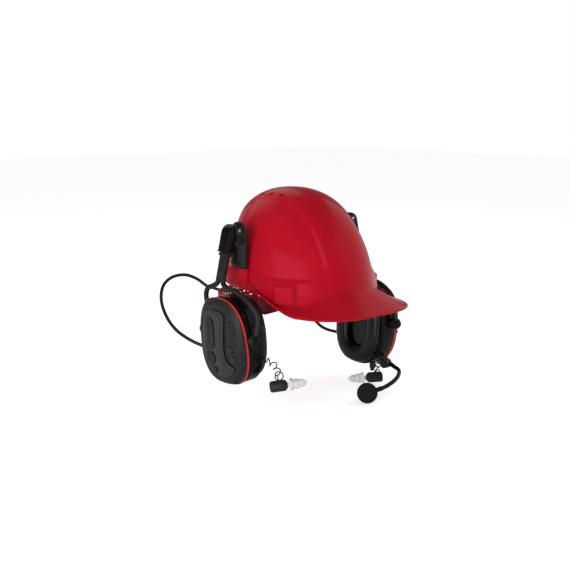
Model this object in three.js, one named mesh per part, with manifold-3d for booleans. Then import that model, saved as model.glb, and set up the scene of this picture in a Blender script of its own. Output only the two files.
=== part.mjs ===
// Forestry helmet: a hard cap with its harness, and a headset ear muff on a sprung arm at each side.
// Millimetres, +Z up. The wearer looks along -Y and has +X at the left hand. The origin is the centre
// of the cap at the height of its rim beside the ears.

import * as THREE from 'three';
import { mergeVertices } from 'three/addons/utils/BufferGeometryUtils.js';
import Module from 'manifold-3d';

const wasm = await Module();
wasm.setup();

const gap = 0.3;          // clearance between pieces that touch
const degree = Math.PI / 180;

// The cap
const capWidth = 103;     // half width of the dome
const capFront = 115;     // dome, origin to forehead
const capRear = 120.5;    // dome, origin to nape
const capHeight = 141;
const capLean = 25;       // how far the crown sits behind the origin
const capWall = 2.8;
const rimWidth = 108;
const rimFront = 157;     // reach of the peak
const rimRear = 124.5;
const rimDrop = 27.5;     // how far the peak's edge hangs below the rim at the ears
const rimDropReach = 95;  // the rim has dropped that far this much in front of the ears
const rimThick = 3.2;
const footAtSide = 11;    // the dome turns out into the rim this far above it
const footAtFront = 31;   // and this far above the tip of the peak
const bandHalf = 41;      // half width of the raised band over the crown
const beltHeight = 28;    // top of the raised belt at the ears
const beltFall = 12;      // the belt is this much lower at the front
const panelDepth = 3.6;
const panelCorner = 32;
const panelSlope = 6;     // width of the slope into the side panel
const padProud = 4.5;     // accessory pads, above the dome

// The harness
const bandWidth = 78;     // headband, half width
const bandFront = 92;
const bandStraight = 62;  // how far back the headband's straight sides run
const bandThick = 1.6;
const napeRear = 150;
const napeLow = -43;
const napeHigh = -23;
const cradleTop = 98;

// The ear arms, given for the right side. "out" is the distance from the middle plane.
const plateOut = 102.2;
const plateThick = 5;
const plateLow = 32;
const plateTop = 97;
const plateHalf = 16;
const armY = 24;          // middle of the arm, front to back
const swivelZ = 78;
const hingeOut = 115.5;
const hingeZ = 86;
const armLean = 13.5;     // how far the arms stand open
const stemOut = 6.5;      // stem, outwards from the hinge
const stemHalf = 7.6;     // stem, half width and half thickness
const stemThin = 3.5;
const stemDown = 76;      // hinge to the foot of the stem
const armFoot = 34;       // hinge to the foot of the elbow
const pivotDown = 147;    // hinge to the pivots of the cup
const pivotOut = -6;
const pivotReach = 52;    // middle of the cup to the inner face of a yoke eye
const armShift = { right: 0, left: 21 };  // how far each yoke is drawn out of its arm

// The ear cups: n points away from the head, f forwards, u upwards, from the middle of the cup
const cupY = 0.5;
const cupHalf = 49;
const cupStretch = 14.5;   // how much taller than wide, on each end
const cupPower = 2.5;
const cupTilt = 4;        // how far the top of the cup leans out
const pivotN = 16;        // pivots, outwards from the middle of the cup
const pivotU = 8;
const seam = -6;          // cushion against housing
const cushionThick = 15;
const faceN = 35;         // outer face of the cover
const coverWall = 2;
const ringN = 22.5;        // trim ring, halfway up
const ringSlope = 0.08;
const ringThick = 3;
const cupSegments = 28;

const red = { color: 0xb0162a, roughness: 0.25, metalness: 0 };
const redStrap = { color: 0x9c1a28, roughness: 0.5, metalness: 0 };
const trimRed = { color: 0xd42a2a, roughness: 0.4, metalness: 0 };
const blackMatte = { color: 0x26272a, roughness: 0.6, metalness: 0 };
const blackGloss = { color: 0x101113, roughness: 0.2, metalness: 0 };
const blackSoft = { color: 0x18191b, roughness: 0.55, metalness: 0 };
const foamGrey = { color: 0x2a2b2d, roughness: 0.95, metalness: 0 };
const steel = { color: 0xb8babd, roughness: 0.3, metalness: 1 };
const whiteSilicone = { color: 0xf1f0ec, roughness: 0.5, metalness: 0 };
const boardGreen = { color: 0x1f5a36, roughness: 0.6, metalness: 0 };
const greyPad = { color: 0x8a8c8e, roughness: 0.9, metalness: 0 };

// ---- Solids ----

function toSolid(geometry) {
  const bare = geometry.clone();
  bare.deleteAttribute('normal');
  bare.deleteAttribute('uv');
  const merged = mergeVertices(bare, 1e-3);
  const corners = merged.index.array;
  const kept = [];
  for (let i = 0; i < corners.length; i += 3) {
    const [a, b, c] = [corners[i], corners[i + 1], corners[i + 2]];
    if (a !== b && b !== c && c !== a) kept.push(a, b, c);
  }
  return new wasm.Manifold(new wasm.Mesh({
    numProp: 3,
    vertProperties: new Float32Array(merged.attributes.position.array),
    triVerts: new Uint32Array(kept),
  }));
}

function toGeometry(solid) {
  const mesh = solid.getMesh();
  const geometry = new THREE.BufferGeometry();
  geometry.setAttribute('position', new THREE.BufferAttribute(mesh.vertProperties, 3));
  geometry.setIndex(new THREE.BufferAttribute(mesh.triVerts, 1));
  geometry.computeVertexNormals();
  return geometry;
}

const cut = (body, ...tools) =>
  toGeometry(tools.reduce((rest, tool) => rest.subtract(toSolid(tool)), toSolid(body)));
const join = (body, ...others) =>
  toGeometry(others.reduce((sum, other) => sum.add(toSolid(other)), toSolid(body)));

function box(x0, x1, y0, y1, z0, z1) {
  const geometry = new THREE.BoxGeometry(x1 - x0, y1 - y0, z1 - z0);
  return geometry.translate((x0 + x1) / 2, (y0 + y1) / 2, (z0 + z1) / 2);
}

// A round bar from one point to another, of one radius or tapering.
function rod(from, to, radius, endRadius = radius, sides = 14) {
  const way = to.clone().sub(from);
  const geometry = new THREE.CylinderGeometry(endRadius, radius, way.length(), sides);
  const turn = new THREE.Quaternion().setFromUnitVectors(new THREE.Vector3(0, 1, 0), way.clone().normalize());
  return geometry.applyQuaternion(turn).translate(...from.clone().lerp(to, 0.5).toArray());
}

// An outline of points [a, b] extruded along X, with a as y and b as z.
function slab(outline, x0, x1) {
  const shape = new THREE.Shape(outline.map(([a, b]) => new THREE.Vector2(a, b)));
  const geometry = new THREE.ExtrudeGeometry(shape, { depth: x1 - x0, bevelEnabled: false });
  const upright = new THREE.Matrix4().set(0, 0, 1, x0, 1, 0, 0, 0, 0, 1, 0, 0, 0, 0, 0, 1);
  return geometry.applyMatrix4(upright);
}

// A bar of oval section swept along a smooth curve through the points. The section is wide in the
// curve's own plane and thin across it, when that plane is upright and runs front to back.
function sweep(points, thin, wide, steps, sides) {
  const path = new THREE.CatmullRomCurve3(points, false, 'centripetal');
  const section = new THREE.Shape();
  section.absellipse(0, 0, thin, wide, 0, 2 * Math.PI, false, 0);
  const outline = new THREE.Shape(section.getPoints(sides).slice(0, sides));
  return new THREE.ExtrudeGeometry(outline, { steps, bevelEnabled: false, extrudePath: path });
}

// A lathed body whose every point is placed anew: place(angle, index of the profile point).
function placedLathe(count, segments, place) {
  const profile = Array.from({ length: count }, (_, j) => {
    const onAxis = j === 0 || j === count - 1;
    return new THREE.Vector2(onAxis ? 0 : 1, j);
  });
  const geometry = new THREE.LatheGeometry(profile, segments);
  const position = geometry.attributes.position;
  for (let i = 0; i <= segments; i += 1) {
    const angle = (i % segments) / segments * 2 * Math.PI;
    for (let j = 0; j < count; j += 1) position.setXYZ(i * count + j, ...place(angle, j));
  }
  return geometry;
}

const powered = (value, power) => Math.sign(value) * Math.abs(value) ** (2 / power);

// A body of oval rings about the axis of a cup. The profile holds [half width, n] pairs; it starts and
// ends on the axis or closes on itself. slant(n) says how far a ring leans with the trim plane.
function ovalLathe(profile, slant = () => 0) {
  const geometry = new THREE.LatheGeometry(profile.map(([r, n]) => new THREE.Vector2(r, n)), cupSegments);
  const position = geometry.attributes.position;
  for (let i = 0; i < position.count; i += 1) {
    const [across, n, along] = [position.getX(i), position.getY(i), position.getZ(i)];
    const r = Math.hypot(across, along);
    const tall = r + cupStretch * Math.min(1, r / 15);
    const f = r < 1e-6 ? 0 : r * powered(across / r, cupPower);
    const u = r < 1e-6 ? 0 : tall * powered(along / r, cupPower);
    position.setXYZ(i, -(n + ringSlope * u * slant(n)), f, u);
  }
  return geometry;
}

// A flat strap bent to shape: place(t, depth, height) with all three from 0 to 1. It keeps its winding
// when t runs towards +X, depth towards +Y and height towards +Z at the front of the helmet.
function strap(steps, place) {
  const geometry = new THREE.BoxGeometry(1, 1, 1, steps, 1, 1);
  const position = geometry.attributes.position;
  for (let i = 0; i < position.count; i += 1) {
    const [t, depth, height] = [position.getX(i) + 0.5, position.getY(i) + 0.5, position.getZ(i) + 0.5];
    position.setXYZ(i, ...place(t, depth, height));
  }
  return geometry;
}

function piece(name, geometry, finish) {
  const mesh = new THREE.Mesh(geometry, new THREE.MeshStandardMaterial(finish));
  mesh.name = name;
  return mesh;
}

// ---- Cap ----

const domeTaper = (z) => (z <= 0 ? 1 : (1 - Math.min(1, z / capHeight) ** 2.23) ** (1 / 2.25));

// How deep the side panel is sunk at this point of the dome, from 0 to 1.
function panelMask(x, y, z) {
  const a = Math.abs(x) - bandHalf;
  const b = z - beltHeight + beltFall * THREE.MathUtils.smoothstep(-y, -20, 35);
  const corner = Math.hypot(Math.max(panelCorner - a, 0), Math.max(panelCorner - b, 0));
  const inside = a < panelCorner && b < panelCorner ? panelCorner - corner : Math.min(a, b);
  return THREE.MathUtils.smoothstep(inside, 0, panelSlope);
}

// A point of the dome, drawn in by inset. The angle runs from the forehead towards the left ear.
function domePoint(angle, z, inset) {
  const taper = domeTaper(z);
  const reach = Math.cos(angle) > 0 ? capFront : capRear;
  const x = (capWidth - inset) * taper * Math.sin(angle);
  const y = -(reach - inset) * taper * Math.cos(angle) + capLean * Math.max(z, 0) / capHeight;
  const top = z * (capHeight - inset) / capHeight;
  const sunk = panelDepth * panelMask(x, y, z);
  const inward = new THREE.Vector3(-x, 12 - y, 10 - top).normalize().multiplyScalar(sunk);
  return [x + inward.x, y + inward.y, top + inward.z];
}

function rimPoint(angle, inset, lift) {
  const front = Math.cos(angle) > 0;
  const power = front ? 3.4 : 2.2;
  const x = (rimWidth - inset) * powered(Math.sin(angle), power);
  const y = -((front ? rimFront : rimRear) - inset) * powered(Math.cos(angle), power);
  return [x, y, lift - rimDrop * THREE.MathUtils.smoothstep(-y, 0, rimDropReach)];
}

// Height where the dome turns out into the rim and the peak.
function footHeight(angle) {
  const turn = Math.abs(Math.atan2(Math.sin(angle), Math.cos(angle))) / degree;
  const above = THREE.MathUtils.lerp(footAtFront, footAtSide, THREE.MathUtils.smoothstep(turn, 15, 55));
  return rimPoint(angle, 0, above)[2];
}

// The flare between the foot of the dome (s = 0) and the rim (s = 1).
function flarePoint(angle, s, inner) {
  const inset = inner ? capWall : 0;
  const start = domePoint(angle, footHeight(angle), inset);
  const end = rimPoint(angle, inset, inner ? 0 : rimThick);
  const fall = (1 - s) ** 1.1;
  const plan = (k) => start[k] + (end[k] - start[k]) * s;
  return [plan(0), plan(1), end[2] + (start[2] - end[2]) * fall];
}

function capBody() {
  const heights = [1, 0.97, 0.89, 0.77, 0.62, 0.46, 0.32, 0.26, 0.215];
  const flares = [0, 0.4];
  const inner = heights.map((h) => (angle) => domePoint(angle, h * capHeight, capWall));
  inner.push(...flares.map((s) => (angle) => flarePoint(angle, s, true)));
  const outer = heights.map((h) => (angle) => domePoint(angle, h * capHeight, 0));
  outer.push(...flares.map((s) => (angle) => flarePoint(angle, s, false)));
  const lip = [(angle) => rimPoint(angle, capWall, 0), (angle) => rimPoint(angle, 0, 0),
    (angle) => rimPoint(angle, 0, rimThick)];
  const rings = [...inner, ...lip, ...outer.reverse()];
  return placedLathe(rings.length, 44, (angle, j) => rings[j](angle));
}

// A block standing out of the cap: its middle is at this angle of the dome.
function capBlock(angle, width, low, high) {
  const [x, y] = domePoint(angle, 10, 0);
  const reach = Math.cos(angle) > 0 ? capFront : capRear;
  const heading = Math.atan2(Math.sin(angle) / capWidth, Math.cos(angle) / reach);
  const block = box(-width / 2, width / 2, -padProud, capWall - gap, low, high);
  return block.rotateZ(heading).translate(x, y, 0);
}

function cap() {
  const adds = [];
  const cuts = [];
  for (const side of [-1, 1]) {
    adds.push(capBlock(side * 60 * degree, 28, -14, 11));
    adds.push(capBlock(side * 129 * degree, 26, 2, 22));
    // pocket that takes the foot of the ear arm's plate
    adds.push(box(side < 0 ? -109 : 100.4, side < 0 ? -100.4 : 109, armY - 20, armY + 20, 3, 30));
    const slotIn = plateOut + 0.9;
    const slotOut = plateOut + plateThick - 0.9;
    cuts.push(box(side < 0 ? -slotOut : slotIn, side < 0 ? -slotIn : slotOut, armY - 14.4, armY + 14.4, 9, 31));
    // eyelet for a chin strap
    adds.push(box(side < 0 ? -106 : 103.6, side < 0 ? -103.6 : 106, -17, -5, -17, 1));
    const eye = new THREE.Vector3(side * 102, -11, -12);
    cuts.push(rod(eye, eye.clone().setX(side * 109), 2.2, 2.2, 12));
    for (const row of [-1, 0, 1]) {
      const vent = new THREE.BoxGeometry(5, 7, 30).rotateY(side * 30 * degree);
      cuts.push(vent.translate(side * 39, 27 + 21 * row, 133));
    }
  }
  return cut(join(capBody(), ...adds), ...cuts);
}

// ---- Harness ----

// A point of the headband's outer face. t runs from the right end round the forehead to the left end.
function headbandPoint(t, inset) {
  const bend = 0.72;
  const s = (t - 0.5) * 2;
  const half = bandWidth - inset;
  if (Math.abs(s) > bend) {
    const back = (Math.abs(s) - bend) / (1 - bend) * bandStraight;
    return [Math.sign(s) * half, back];
  }
  const angle = s / bend * Math.PI / 2;
  return [half * Math.sin(angle), -(bandFront - inset) * Math.cos(angle)];
}

function headband() {
  return strap(34, (t, depth, height) => {
    const [x, y] = headbandPoint(t, depth * bandThick);
    const forward = Math.max(0, -y / bandFront);
    const low = -40 + 20 * Math.min(1, forward * 1.6);
    return [x, y, low + height * 26];
  });
}

function sweatband() {
  return strap(16, (t, depth, height) => {
    const [x, y] = headbandPoint(0.24 + 0.52 * t, bandThick + gap + 0.1 + depth * 3);
    const forward = Math.max(0, -y / bandFront);
    return [x, y, -38 + 20 * Math.min(1, forward * 1.6) + height * 21];
  });
}

function napeStrap() {
  const half = bandWidth - bandThick - 0.4;
  const bend = 0.62;
  const start = 30;
  const turn = 100;
  return strap(28, (t, depth, height) => {
    const s = (t - 0.5) * 2;
    const inset = (1 - depth) * bandThick;
    const z = napeLow + height * (napeHigh - napeLow);
    if (Math.abs(s) > bend) {
      const y = turn - (Math.abs(s) - bend) / (1 - bend) * (turn - start);
      return [Math.sign(s) * (half - inset), y, z];
    }
    const angle = s / bend * Math.PI / 2;
    return [(half - inset) * Math.sin(angle), turn + (napeRear - turn - inset) * Math.cos(angle), z];
  });
}

// Where each arm of the cradle ends, on the top edge of the headband.
const cradleEnds = [
  { name: 'front_right', x: -54, y: -66, z: 6.6 },
  { name: 'front_left', x: 54, y: -66, z: 6.6 },
  { name: 'rear_right', x: -76, y: 52, z: -13.4 },
  { name: 'rear_left', x: 76, y: 52, z: -13.4 },
];

function cradle() {
  const arms = cradleEnds.map(({ x, y, z }) => {
    const reach = Math.hypot(x, y);
    const arm = strap(9, (t, depth, height) => {
      const rise = (1 - t) * Math.PI / 2;
      const swell = depth * 1.5;
      const r = t === 0 ? -8 : (reach + swell) * Math.cos(rise);
      return [r, -(height - 0.5) * 18, z + (cradleTop + swell - z) * Math.sin(rise)];
    });
    return arm.rotateZ(Math.atan2(y, x));
  });
  const crown = new THREE.CylinderGeometry(26, 26, 1.5, 20).rotateX(Math.PI / 2);
  return join(crown.translate(0, 0, cradleTop + 0.75), ...arms);
}

function crownPad() {
  const pad = new THREE.CylinderGeometry(26, 26, 6, 20).rotateX(Math.PI / 2);
  return pad.translate(0, 0, cradleTop - 10);
}

// A clip bridges from the end of a cradle arm to the wall of the cap.
function clip({ x, y, z }) {
  const angle = Math.atan2(x, -y * (capWidth / (y < 0 ? capFront : capRear)));
  const wall = domePoint(angle, z + 8, capWall);
  const reach = Math.hypot(wall[0], wall[1]);
  const start = Math.hypot(x, y) + 2;
  const low = z + 2;
  const block = box(start, reach - panelDepth - 4, -8, 8, low, low + 12);
  return block.rotateZ(Math.atan2(y, x));
}

const helmet = new THREE.Group();
helmet.add(piece('shell', cap(), red));
helmet.add(piece('headband', headband(), redStrap));
helmet.add(piece('sweatband', sweatband(), blackSoft));
helmet.add(piece('nape_strap', napeStrap(), redStrap));
helmet.add(piece('crown_cradle', cradle(), redStrap));
helmet.add(piece('crown_pad', crownPad(), greyPad));
for (const end of cradleEnds) helmet.add(piece(`clip_${end.name}`, clip(end), redStrap));

// ---- Ear arm: everything below is drawn for the right side and mirrored for the left ----

function mountPlate() {
  const outline = [[armY - plateHalf, plateLow], [armY + plateHalf, plateLow]];
  for (let step = 0; step <= 10; step += 1) {
    const angle = step / 10 * Math.PI;
    outline.push([armY + plateHalf * Math.cos(angle), plateTop - plateHalf + plateHalf * Math.sin(angle)]);
  }
  const [inner, outer] = [-plateOut, -plateOut - plateThick];
  const foot = box(outer + 1.3, inner - 1.3, armY - 14, armY + 14, 14, plateLow + 1);
  const window = box(outer - 1, inner + 1, armY - 9.5, armY + 9.5, 37, 60);
  const axis = (x) => new THREE.Vector3(x, armY, swivelZ);
  const hole = rod(axis(outer - 1), axis(inner + 1), 6.3, 6.3, 16);
  return cut(join(slab(outline, outer, inner), foot), window, hole);
}

function swivel() {
  const face = -plateOut - plateThick - gap;
  const at = (x) => new THREE.Vector3(x, armY, swivelZ);
  const disc = rod(at(face), at(face - 2.5), 15, 15, 20);
  const axle = rod(at(face - 1), at(-plateOut + 2), 6);
  const snap = rod(at(-plateOut + gap), at(-plateOut + 2.2), 8, 6.5);
  const lugs = [-1, 1].map((end) => {
    const y = armY + end * 12.1;
    return box(-hingeOut - 4.5, face - 1, y - 1.9, y + 1.9, hingeZ - 6, hingeZ + 4.5);
  });
  const pin = (y) => new THREE.Vector3(-hingeOut, y, hingeZ);
  const pinHole = rod(pin(armY - 20), pin(armY + 20), 2.3);
  return cut(join(disc, axle, snap, ...lugs), pinHole);
}

// Pieces from here to the yoke are placed from the hinge, with the stem hanging straight down.
function hingePin() {
  return rod(new THREE.Vector3(0, -14.6, 0), new THREE.Vector3(0, 14.6, 0), 2, 2, 16);
}

function elbow() {
  const outline = [];
  const [inner, outer] = [stemOut - stemThin - 3.5, stemOut + stemThin + 3.5];
  const half = stemHalf + 2.3;
  for (let step = 0; step <= 8; step += 1) {
    const angle = step / 8 * 90 * degree;
    outline.push([outer - 14 + 14 * Math.sin(angle) - 0.2, -6 + 14 * Math.cos(angle)]);
  }
  outline.push([outer, -armFoot], [inner, -armFoot], [inner, -14]);
  for (let step = 0; step <= 6; step += 1) {
    const angle = (200 + step / 6 * 150) * degree;
    outline.push([5.2 * Math.sin(angle), 5.2 * Math.cos(angle)]);
  }
  const shape = new THREE.Shape(outline.map(([out, up]) => new THREE.Vector2(-out, up)));
  const side = new THREE.ExtrudeGeometry(shape, { depth: 2 * half, bevelEnabled: false });
  const body = side.rotateX(Math.PI / 2).translate(0, half, 0);
  const loose = stemThin + 0.4;
  const socket = box(-stemOut - loose, -stemOut + loose, -stemHalf - 0.4, stemHalf + 0.4, -armFoot - 6, -4);
  const bore = rod(new THREE.Vector3(0, -20, 0), new THREE.Vector3(0, 20, 0), 2.3, 2.3, 16);
  return cut(body, socket, bore);
}

const eyeThick = 6.5;

function yoke() {
  const v = (out, y, down) => new THREE.Vector3(-out, y, -down);
  const stem = box(-stemOut - stemThin, -stemOut + stemThin, -stemHalf, stemHalf, -stemDown, -4.5);
  const middle = cupY - armY;
  const ends = { front: middle - pivotReach - gap, rear: middle + pivotReach + gap };
  const outAt = (down) => THREE.MathUtils.lerp(stemOut, pivotOut, THREE.MathUtils.smoothstep(down, 80, 130));
  const branch = (route, end) => sweep([...route, [end, 112], [end, 130], [end, pivotDown]]
    .map(([y, down]) => v(outAt(down), y, down)), 3, 3.2, 22, 8);
  const front = branch([[-4.4, 50], [-4.4, 70], [-7, 78], [-16, 82.5], [-34, 84.5], [-52, 90], [-69, 100.5]],
    ends.front - eyeThick / 2);
  const rear = branch([[4.4, 50], [4.4, 70], [7, 78.5], [16, 84], [27, 88.5], [32, 98]],
    ends.rear + eyeThick / 2);
  const eyes = [[ends.front - eyeThick, ends.front], [ends.rear, ends.rear + eyeThick]]
    .map(([from, to]) => rod(v(pivotOut, from, pivotDown), v(pivotOut, to, pivotDown), 8.6, 8.6, 16));
  const bore = rod(v(pivotOut, ends.front - 20, pivotDown), v(pivotOut, ends.rear + 20, pivotDown), 3.4);
  const slit = box(-stemOut - 10, -stemOut + 10, -1.7, 1.7, -stemDown - 4, -62);
  return cut(join(stem, front, rear, ...eyes), bore, slit);
}

// ---- Ear cup: placed from the middle of the cup, with n as -X and f as -Y ----

const at = (n, f, u) => new THREE.Vector3(-n, -f, u);
const slantBetween = (from, to) => (n) => THREE.MathUtils.clamp((n - from) / (to - from), 0, 1);

// Half width and half height of the cup's outline, drawn in by inset, in the direction of this angle.
function outlinePoint(angle, inset) {
  const half = cupHalf - inset;
  return [half * powered(Math.cos(angle), cupPower), (half + cupStretch) * powered(Math.sin(angle), cupPower)];
}

function pivotBoss(end) {
  return rod(at(pivotN, end * (cupHalf - 3), pivotU), at(pivotN, end * (pivotReach - gap), pivotU), 7, 7, 14);
}

const leadAngle = { right: -16, left: -40 };  // where the earplug lead leaves the cup
const leadN = -2;

function leadBoss(side, from, to) {
  const angle = leadAngle[side] * degree;
  const [f, u] = outlinePoint(angle, 0);
  const way = new THREE.Vector2(f / cupHalf, u / (cupHalf + cupStretch)).normalize();
  return [at(leadN, f + way.x * from, u + way.y * from), at(leadN, f + way.x * to, u + way.y * to)];
}

function cup(side) {
  const wall = 2.5;
  const top = ringN - gap;
  const body = ovalLathe([[20, seam], [cupHalf - 1, seam], [cupHalf, seam + 2], [cupHalf, 6], [cupHalf, top],
    [cupHalf - wall, top], [cupHalf - wall, 6], [cupHalf - wall, seam + 3], [20, seam + 3], [20, seam]],
    slantBetween(6, top));
  const [from, to] = leadBoss(side, -3, 3.5);
  const adds = [pivotBoss(1), pivotBoss(-1), rod(from, to, 3.2, 2.6, 12)];
  const inside = ovalLathe([[0, 0], [cupHalf - wall, 0], [cupHalf - wall, 30], [0, 30]]);
  return join(body, ...adds.map((add) => cut(add, inside)));
}

function trimRing() {
  const r = cupHalf;
  const [low, high] = [ringN, ringN + ringThick];
  return ovalLathe([[r - 3, low], [r + 0.4, low], [r + 0.6, (low + high) / 2], [r + 0.4, high], [r - 3, high],
    [r - 3, low]], () => 1);
}

function cover() {
  const low = ringN + ringThick + gap;
  const inside = faceN - coverWall;
  const r = cupHalf;
  return ovalLathe([[0, inside], [r - 9.6, inside], [r - 5.6, low + 4.2], [r - 2.8, low],
    [r, low], [r - 0.6, low + 2.6], [r - 3.2, low + 6], [r - 8, faceN], [0, faceN]],
    (n) => 1 - slantBetween(low, inside)(n));
}

function cushion() {
  const back = seam - gap;
  const front = seam - cushionThick;
  const middle = (back + front) / 2;
  return ovalLathe([[18.5, middle], [22, front + 1], [31, front], [cupHalf - 7, front + 1], [cupHalf - 1, middle],
    [cupHalf - 2, back], [21, back], [18.5, middle]]);
}

function foamLiner() {
  const low = seam + 3 + gap;
  return ovalLathe([[0, low], [cupHalf - 5, low], [cupHalf - 5, low + 5], [0, low + 5]]);
}

function speaker() {
  return join(rod(at(3, 0, 0), at(7, 0, 0), 19, 19, 18), rod(at(6, 0, 0), at(10.5, 0, 0), 12, 11, 14));
}

const cupBox = (n0, n1, f0, f1, u0, u1) => box(-n1, -n0, -f1, -f0, u0, u1);
const micCap = (f, u) => rod(at(faceN + gap, f, u), at(faceN + 2, f, u), 5.8, 5.2, 18);

// ---- Controls on the right cup ----

const panelThick = 1.6;
const buttonRise = 1;
const panelOutline = [[-19, -43], [2, -51], [12, -49.5], [24, -44], [33, -36], [35, -31], [22, -28.5], [14, -22],
  [11, -8], [13, 15], [17, 43], [9, 46.5], [-12, 47], [-27, 42], [-33, 18], [-35, -8], [-31.5, -28]];
const rocker = { f: -16, u: 12, width: 15.5, height: 46, cornerCut: 5.5 };
const powerButton = { f: -18, u: -25, width: 18, height: 18, cornerCut: 5.2 };
const modeButton = { f: -9.5, u: -40.5, width: 9, height: 8, cornerCut: 1.8 };

// A plate of [f, u] points between two heights above the face.
function facePlate(outline, n0, n1) {
  return slab(outline.map(([f, u]) => [-f, u]), -n1, -n0);
}

function buttonOutline({ f, u, width, height, cornerCut }, grow) {
  const w = width / 2 + grow;
  const h = height / 2 + grow;
  const c = cornerCut;
  return [[f - w + c, u - h], [f + w - c, u - h], [f + w, u - h + c], [f + w, u + h - c], [f + w - c, u + h],
    [f - w + c, u + h], [f - w, u + h - c], [f - w, u - h + c]];
}

const panelFace = faceN + gap + panelThick;

function controlPanel() {
  const plate = facePlate(panelOutline, faceN + gap, panelFace);
  const holes = [rocker, powerButton, modeButton]
    .map((button) => facePlate(buttonOutline(button, 0.4), faceN - 1, panelFace + 1));
  return cut(plate, ...holes);
}

const buttonBody = (button) => facePlate(buttonOutline(button, 0), panelFace - 0.6, panelFace + buttonRise);

// ---- Earplug on its curly lead, placed in the cup ----

const leadRadius = 5;
const plugs = {
  right: {
    route: [[-9, 62, -29], [-17, 63, -43], [-23, 58, -54]],
    body: [-26, 53, -69],
    way: [-0.743, 0.663, 0.09],
  },
  left: {
    route: [[-14, 51, -51], [-20, 54, -55], [-24, 54, -59]],
    body: [-27, 56, -73],
    way: [-0.735, -0.66, -0.12],
  },
};

function plugLead(side) {
  const [, exit] = leadBoss(side, -3, 3.5 + gap);
  const away = leadBoss(side, 0, 14)[1];
  const points = [exit, exit.clone().lerp(away, 0.45), ...plugs[side].route.map((p) => at(...p))];
  return sweep(points, leadRadius, leadRadius, 8, 8);
}

// A lathed body laid along a line: the profile holds [radius, distance along the line] pairs.
function turned(profile, from, way, sides) {
  const lathe = new THREE.LatheGeometry(profile.map(([r, h]) => new THREE.Vector2(r, h)), sides);
  const turn = new THREE.Quaternion().setFromUnitVectors(new THREE.Vector3(0, 1, 0), way.clone().normalize());
  return lathe.applyQuaternion(turn).translate(from.x, from.y, from.z);
}

const plugBodyLength = 26;

function plugBody(side) {
  const { body, way } = plugs[side];
  const along = at(...way);
  const start = at(...body).addScaledVector(along.clone().normalize(), -plugBodyLength / 2);
  return turned([[0, 0], [6.4, 0], [8.6, 3], [8.6, plugBodyLength - 4], [5, plugBodyLength],
    [0, plugBodyLength]], start, along, 6);
}

function plugTip(side) {
  const { body, way } = plugs[side];
  const along = at(...way);
  const start = at(...body).addScaledVector(along.clone().normalize(), plugBodyLength / 2 + gap);
  const profile = [[0, 0], [3, 0], [3, 3]];
  [9, 7.6, 6.2].forEach((radius, k) => {
    const foot = 3 + 7.5 * k;
    profile.push([radius, foot], [radius - 0.9, foot + 3.5], [radius - 3.2, foot + 7.5]);
  });
  profile.push([2, 27], [0, 27.4]);
  return turned(profile, start, along, 14);
}

// ---- Microphone boom on the left cup ----

const boomF = 42;
const boomU = -58;
const hubN = 13.5;
const boomRadius = 3.2;
const micRadius = 15.5;
const boomRoute = [[16, 58, -61], [12, 71, -63], [-2, 84, -66], [-21, 93, -71], [-46, 97, -77], [-67, 97, -80]];
const micCentre = [-85, 96, -82];

const cupCore = () => ovalLathe([[0, 0], [cupHalf + gap, 0], [cupHalf + gap, 30], [0, 30]]);

function boomSocket() {
  const hub = rod(at(8, boomF, boomU), at(hubN, boomF, boomU), 8, 8, 14);
  const web = rod(at(11, boomF - 10, boomU + 13), at(11, boomF, boomU), 2.6, 2.6, 12);
  return cut(join(hub, web), cupCore());
}

function boomTube() {
  const root = rod(at(hubN + gap, boomF, boomU), at(hubN + 8, boomF, boomU), 8, 7, 14);
  const neck = rod(at(18.6, boomF, boomU), at(17, boomF + 15, boomU - 2.7), 3.8, 3.4, 14);
  const tube = sweep([at(17.4, boomF + 12, boomU - 2.2), ...boomRoute.map((p) => at(...p))],
    boomRadius, boomRadius, 20, 8);
  return join(root, neck, tube);
}

function windscreen() {
  const centre = at(...micCentre);
  const end = at(...boomRoute.at(-1));
  const ball = new THREE.SphereGeometry(micRadius, 16, 10).translate(centre.x, centre.y, centre.z);
  const back = end.clone().sub(centre).normalize();
  const socket = rod(end.clone().addScaledVector(back, 12), end.clone().addScaledVector(back, -gap - 0.6),
    boomRadius + 0.5, boomRadius + 0.5, 14);
  return cut(ball, socket);
}

function accessoryJack() {
  const [f, n] = [18, 9.5];
  const stub = join(rod(at(n, f, -54), at(n, f, -70), 5, 4.6, 16),
    rod(at(n, f, -69), at(n, f, -75), 3.4, 3.2, 14));
  return cut(stub, cupCore());
}

// ---- The cable between the cups leaves each at the lower rear ----

const cableRadius = 2.6;
const glandF = -(cupHalf - 2);
const glandU = -24;
const glandN = 8;

function cableGland() {
  return cut(rod(at(glandN, glandF + 4, glandU), at(glandN, glandF - 9, glandU - 2), 4, 3, 14), cupCore());
}

// ---- Assembly of one side ----

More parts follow.
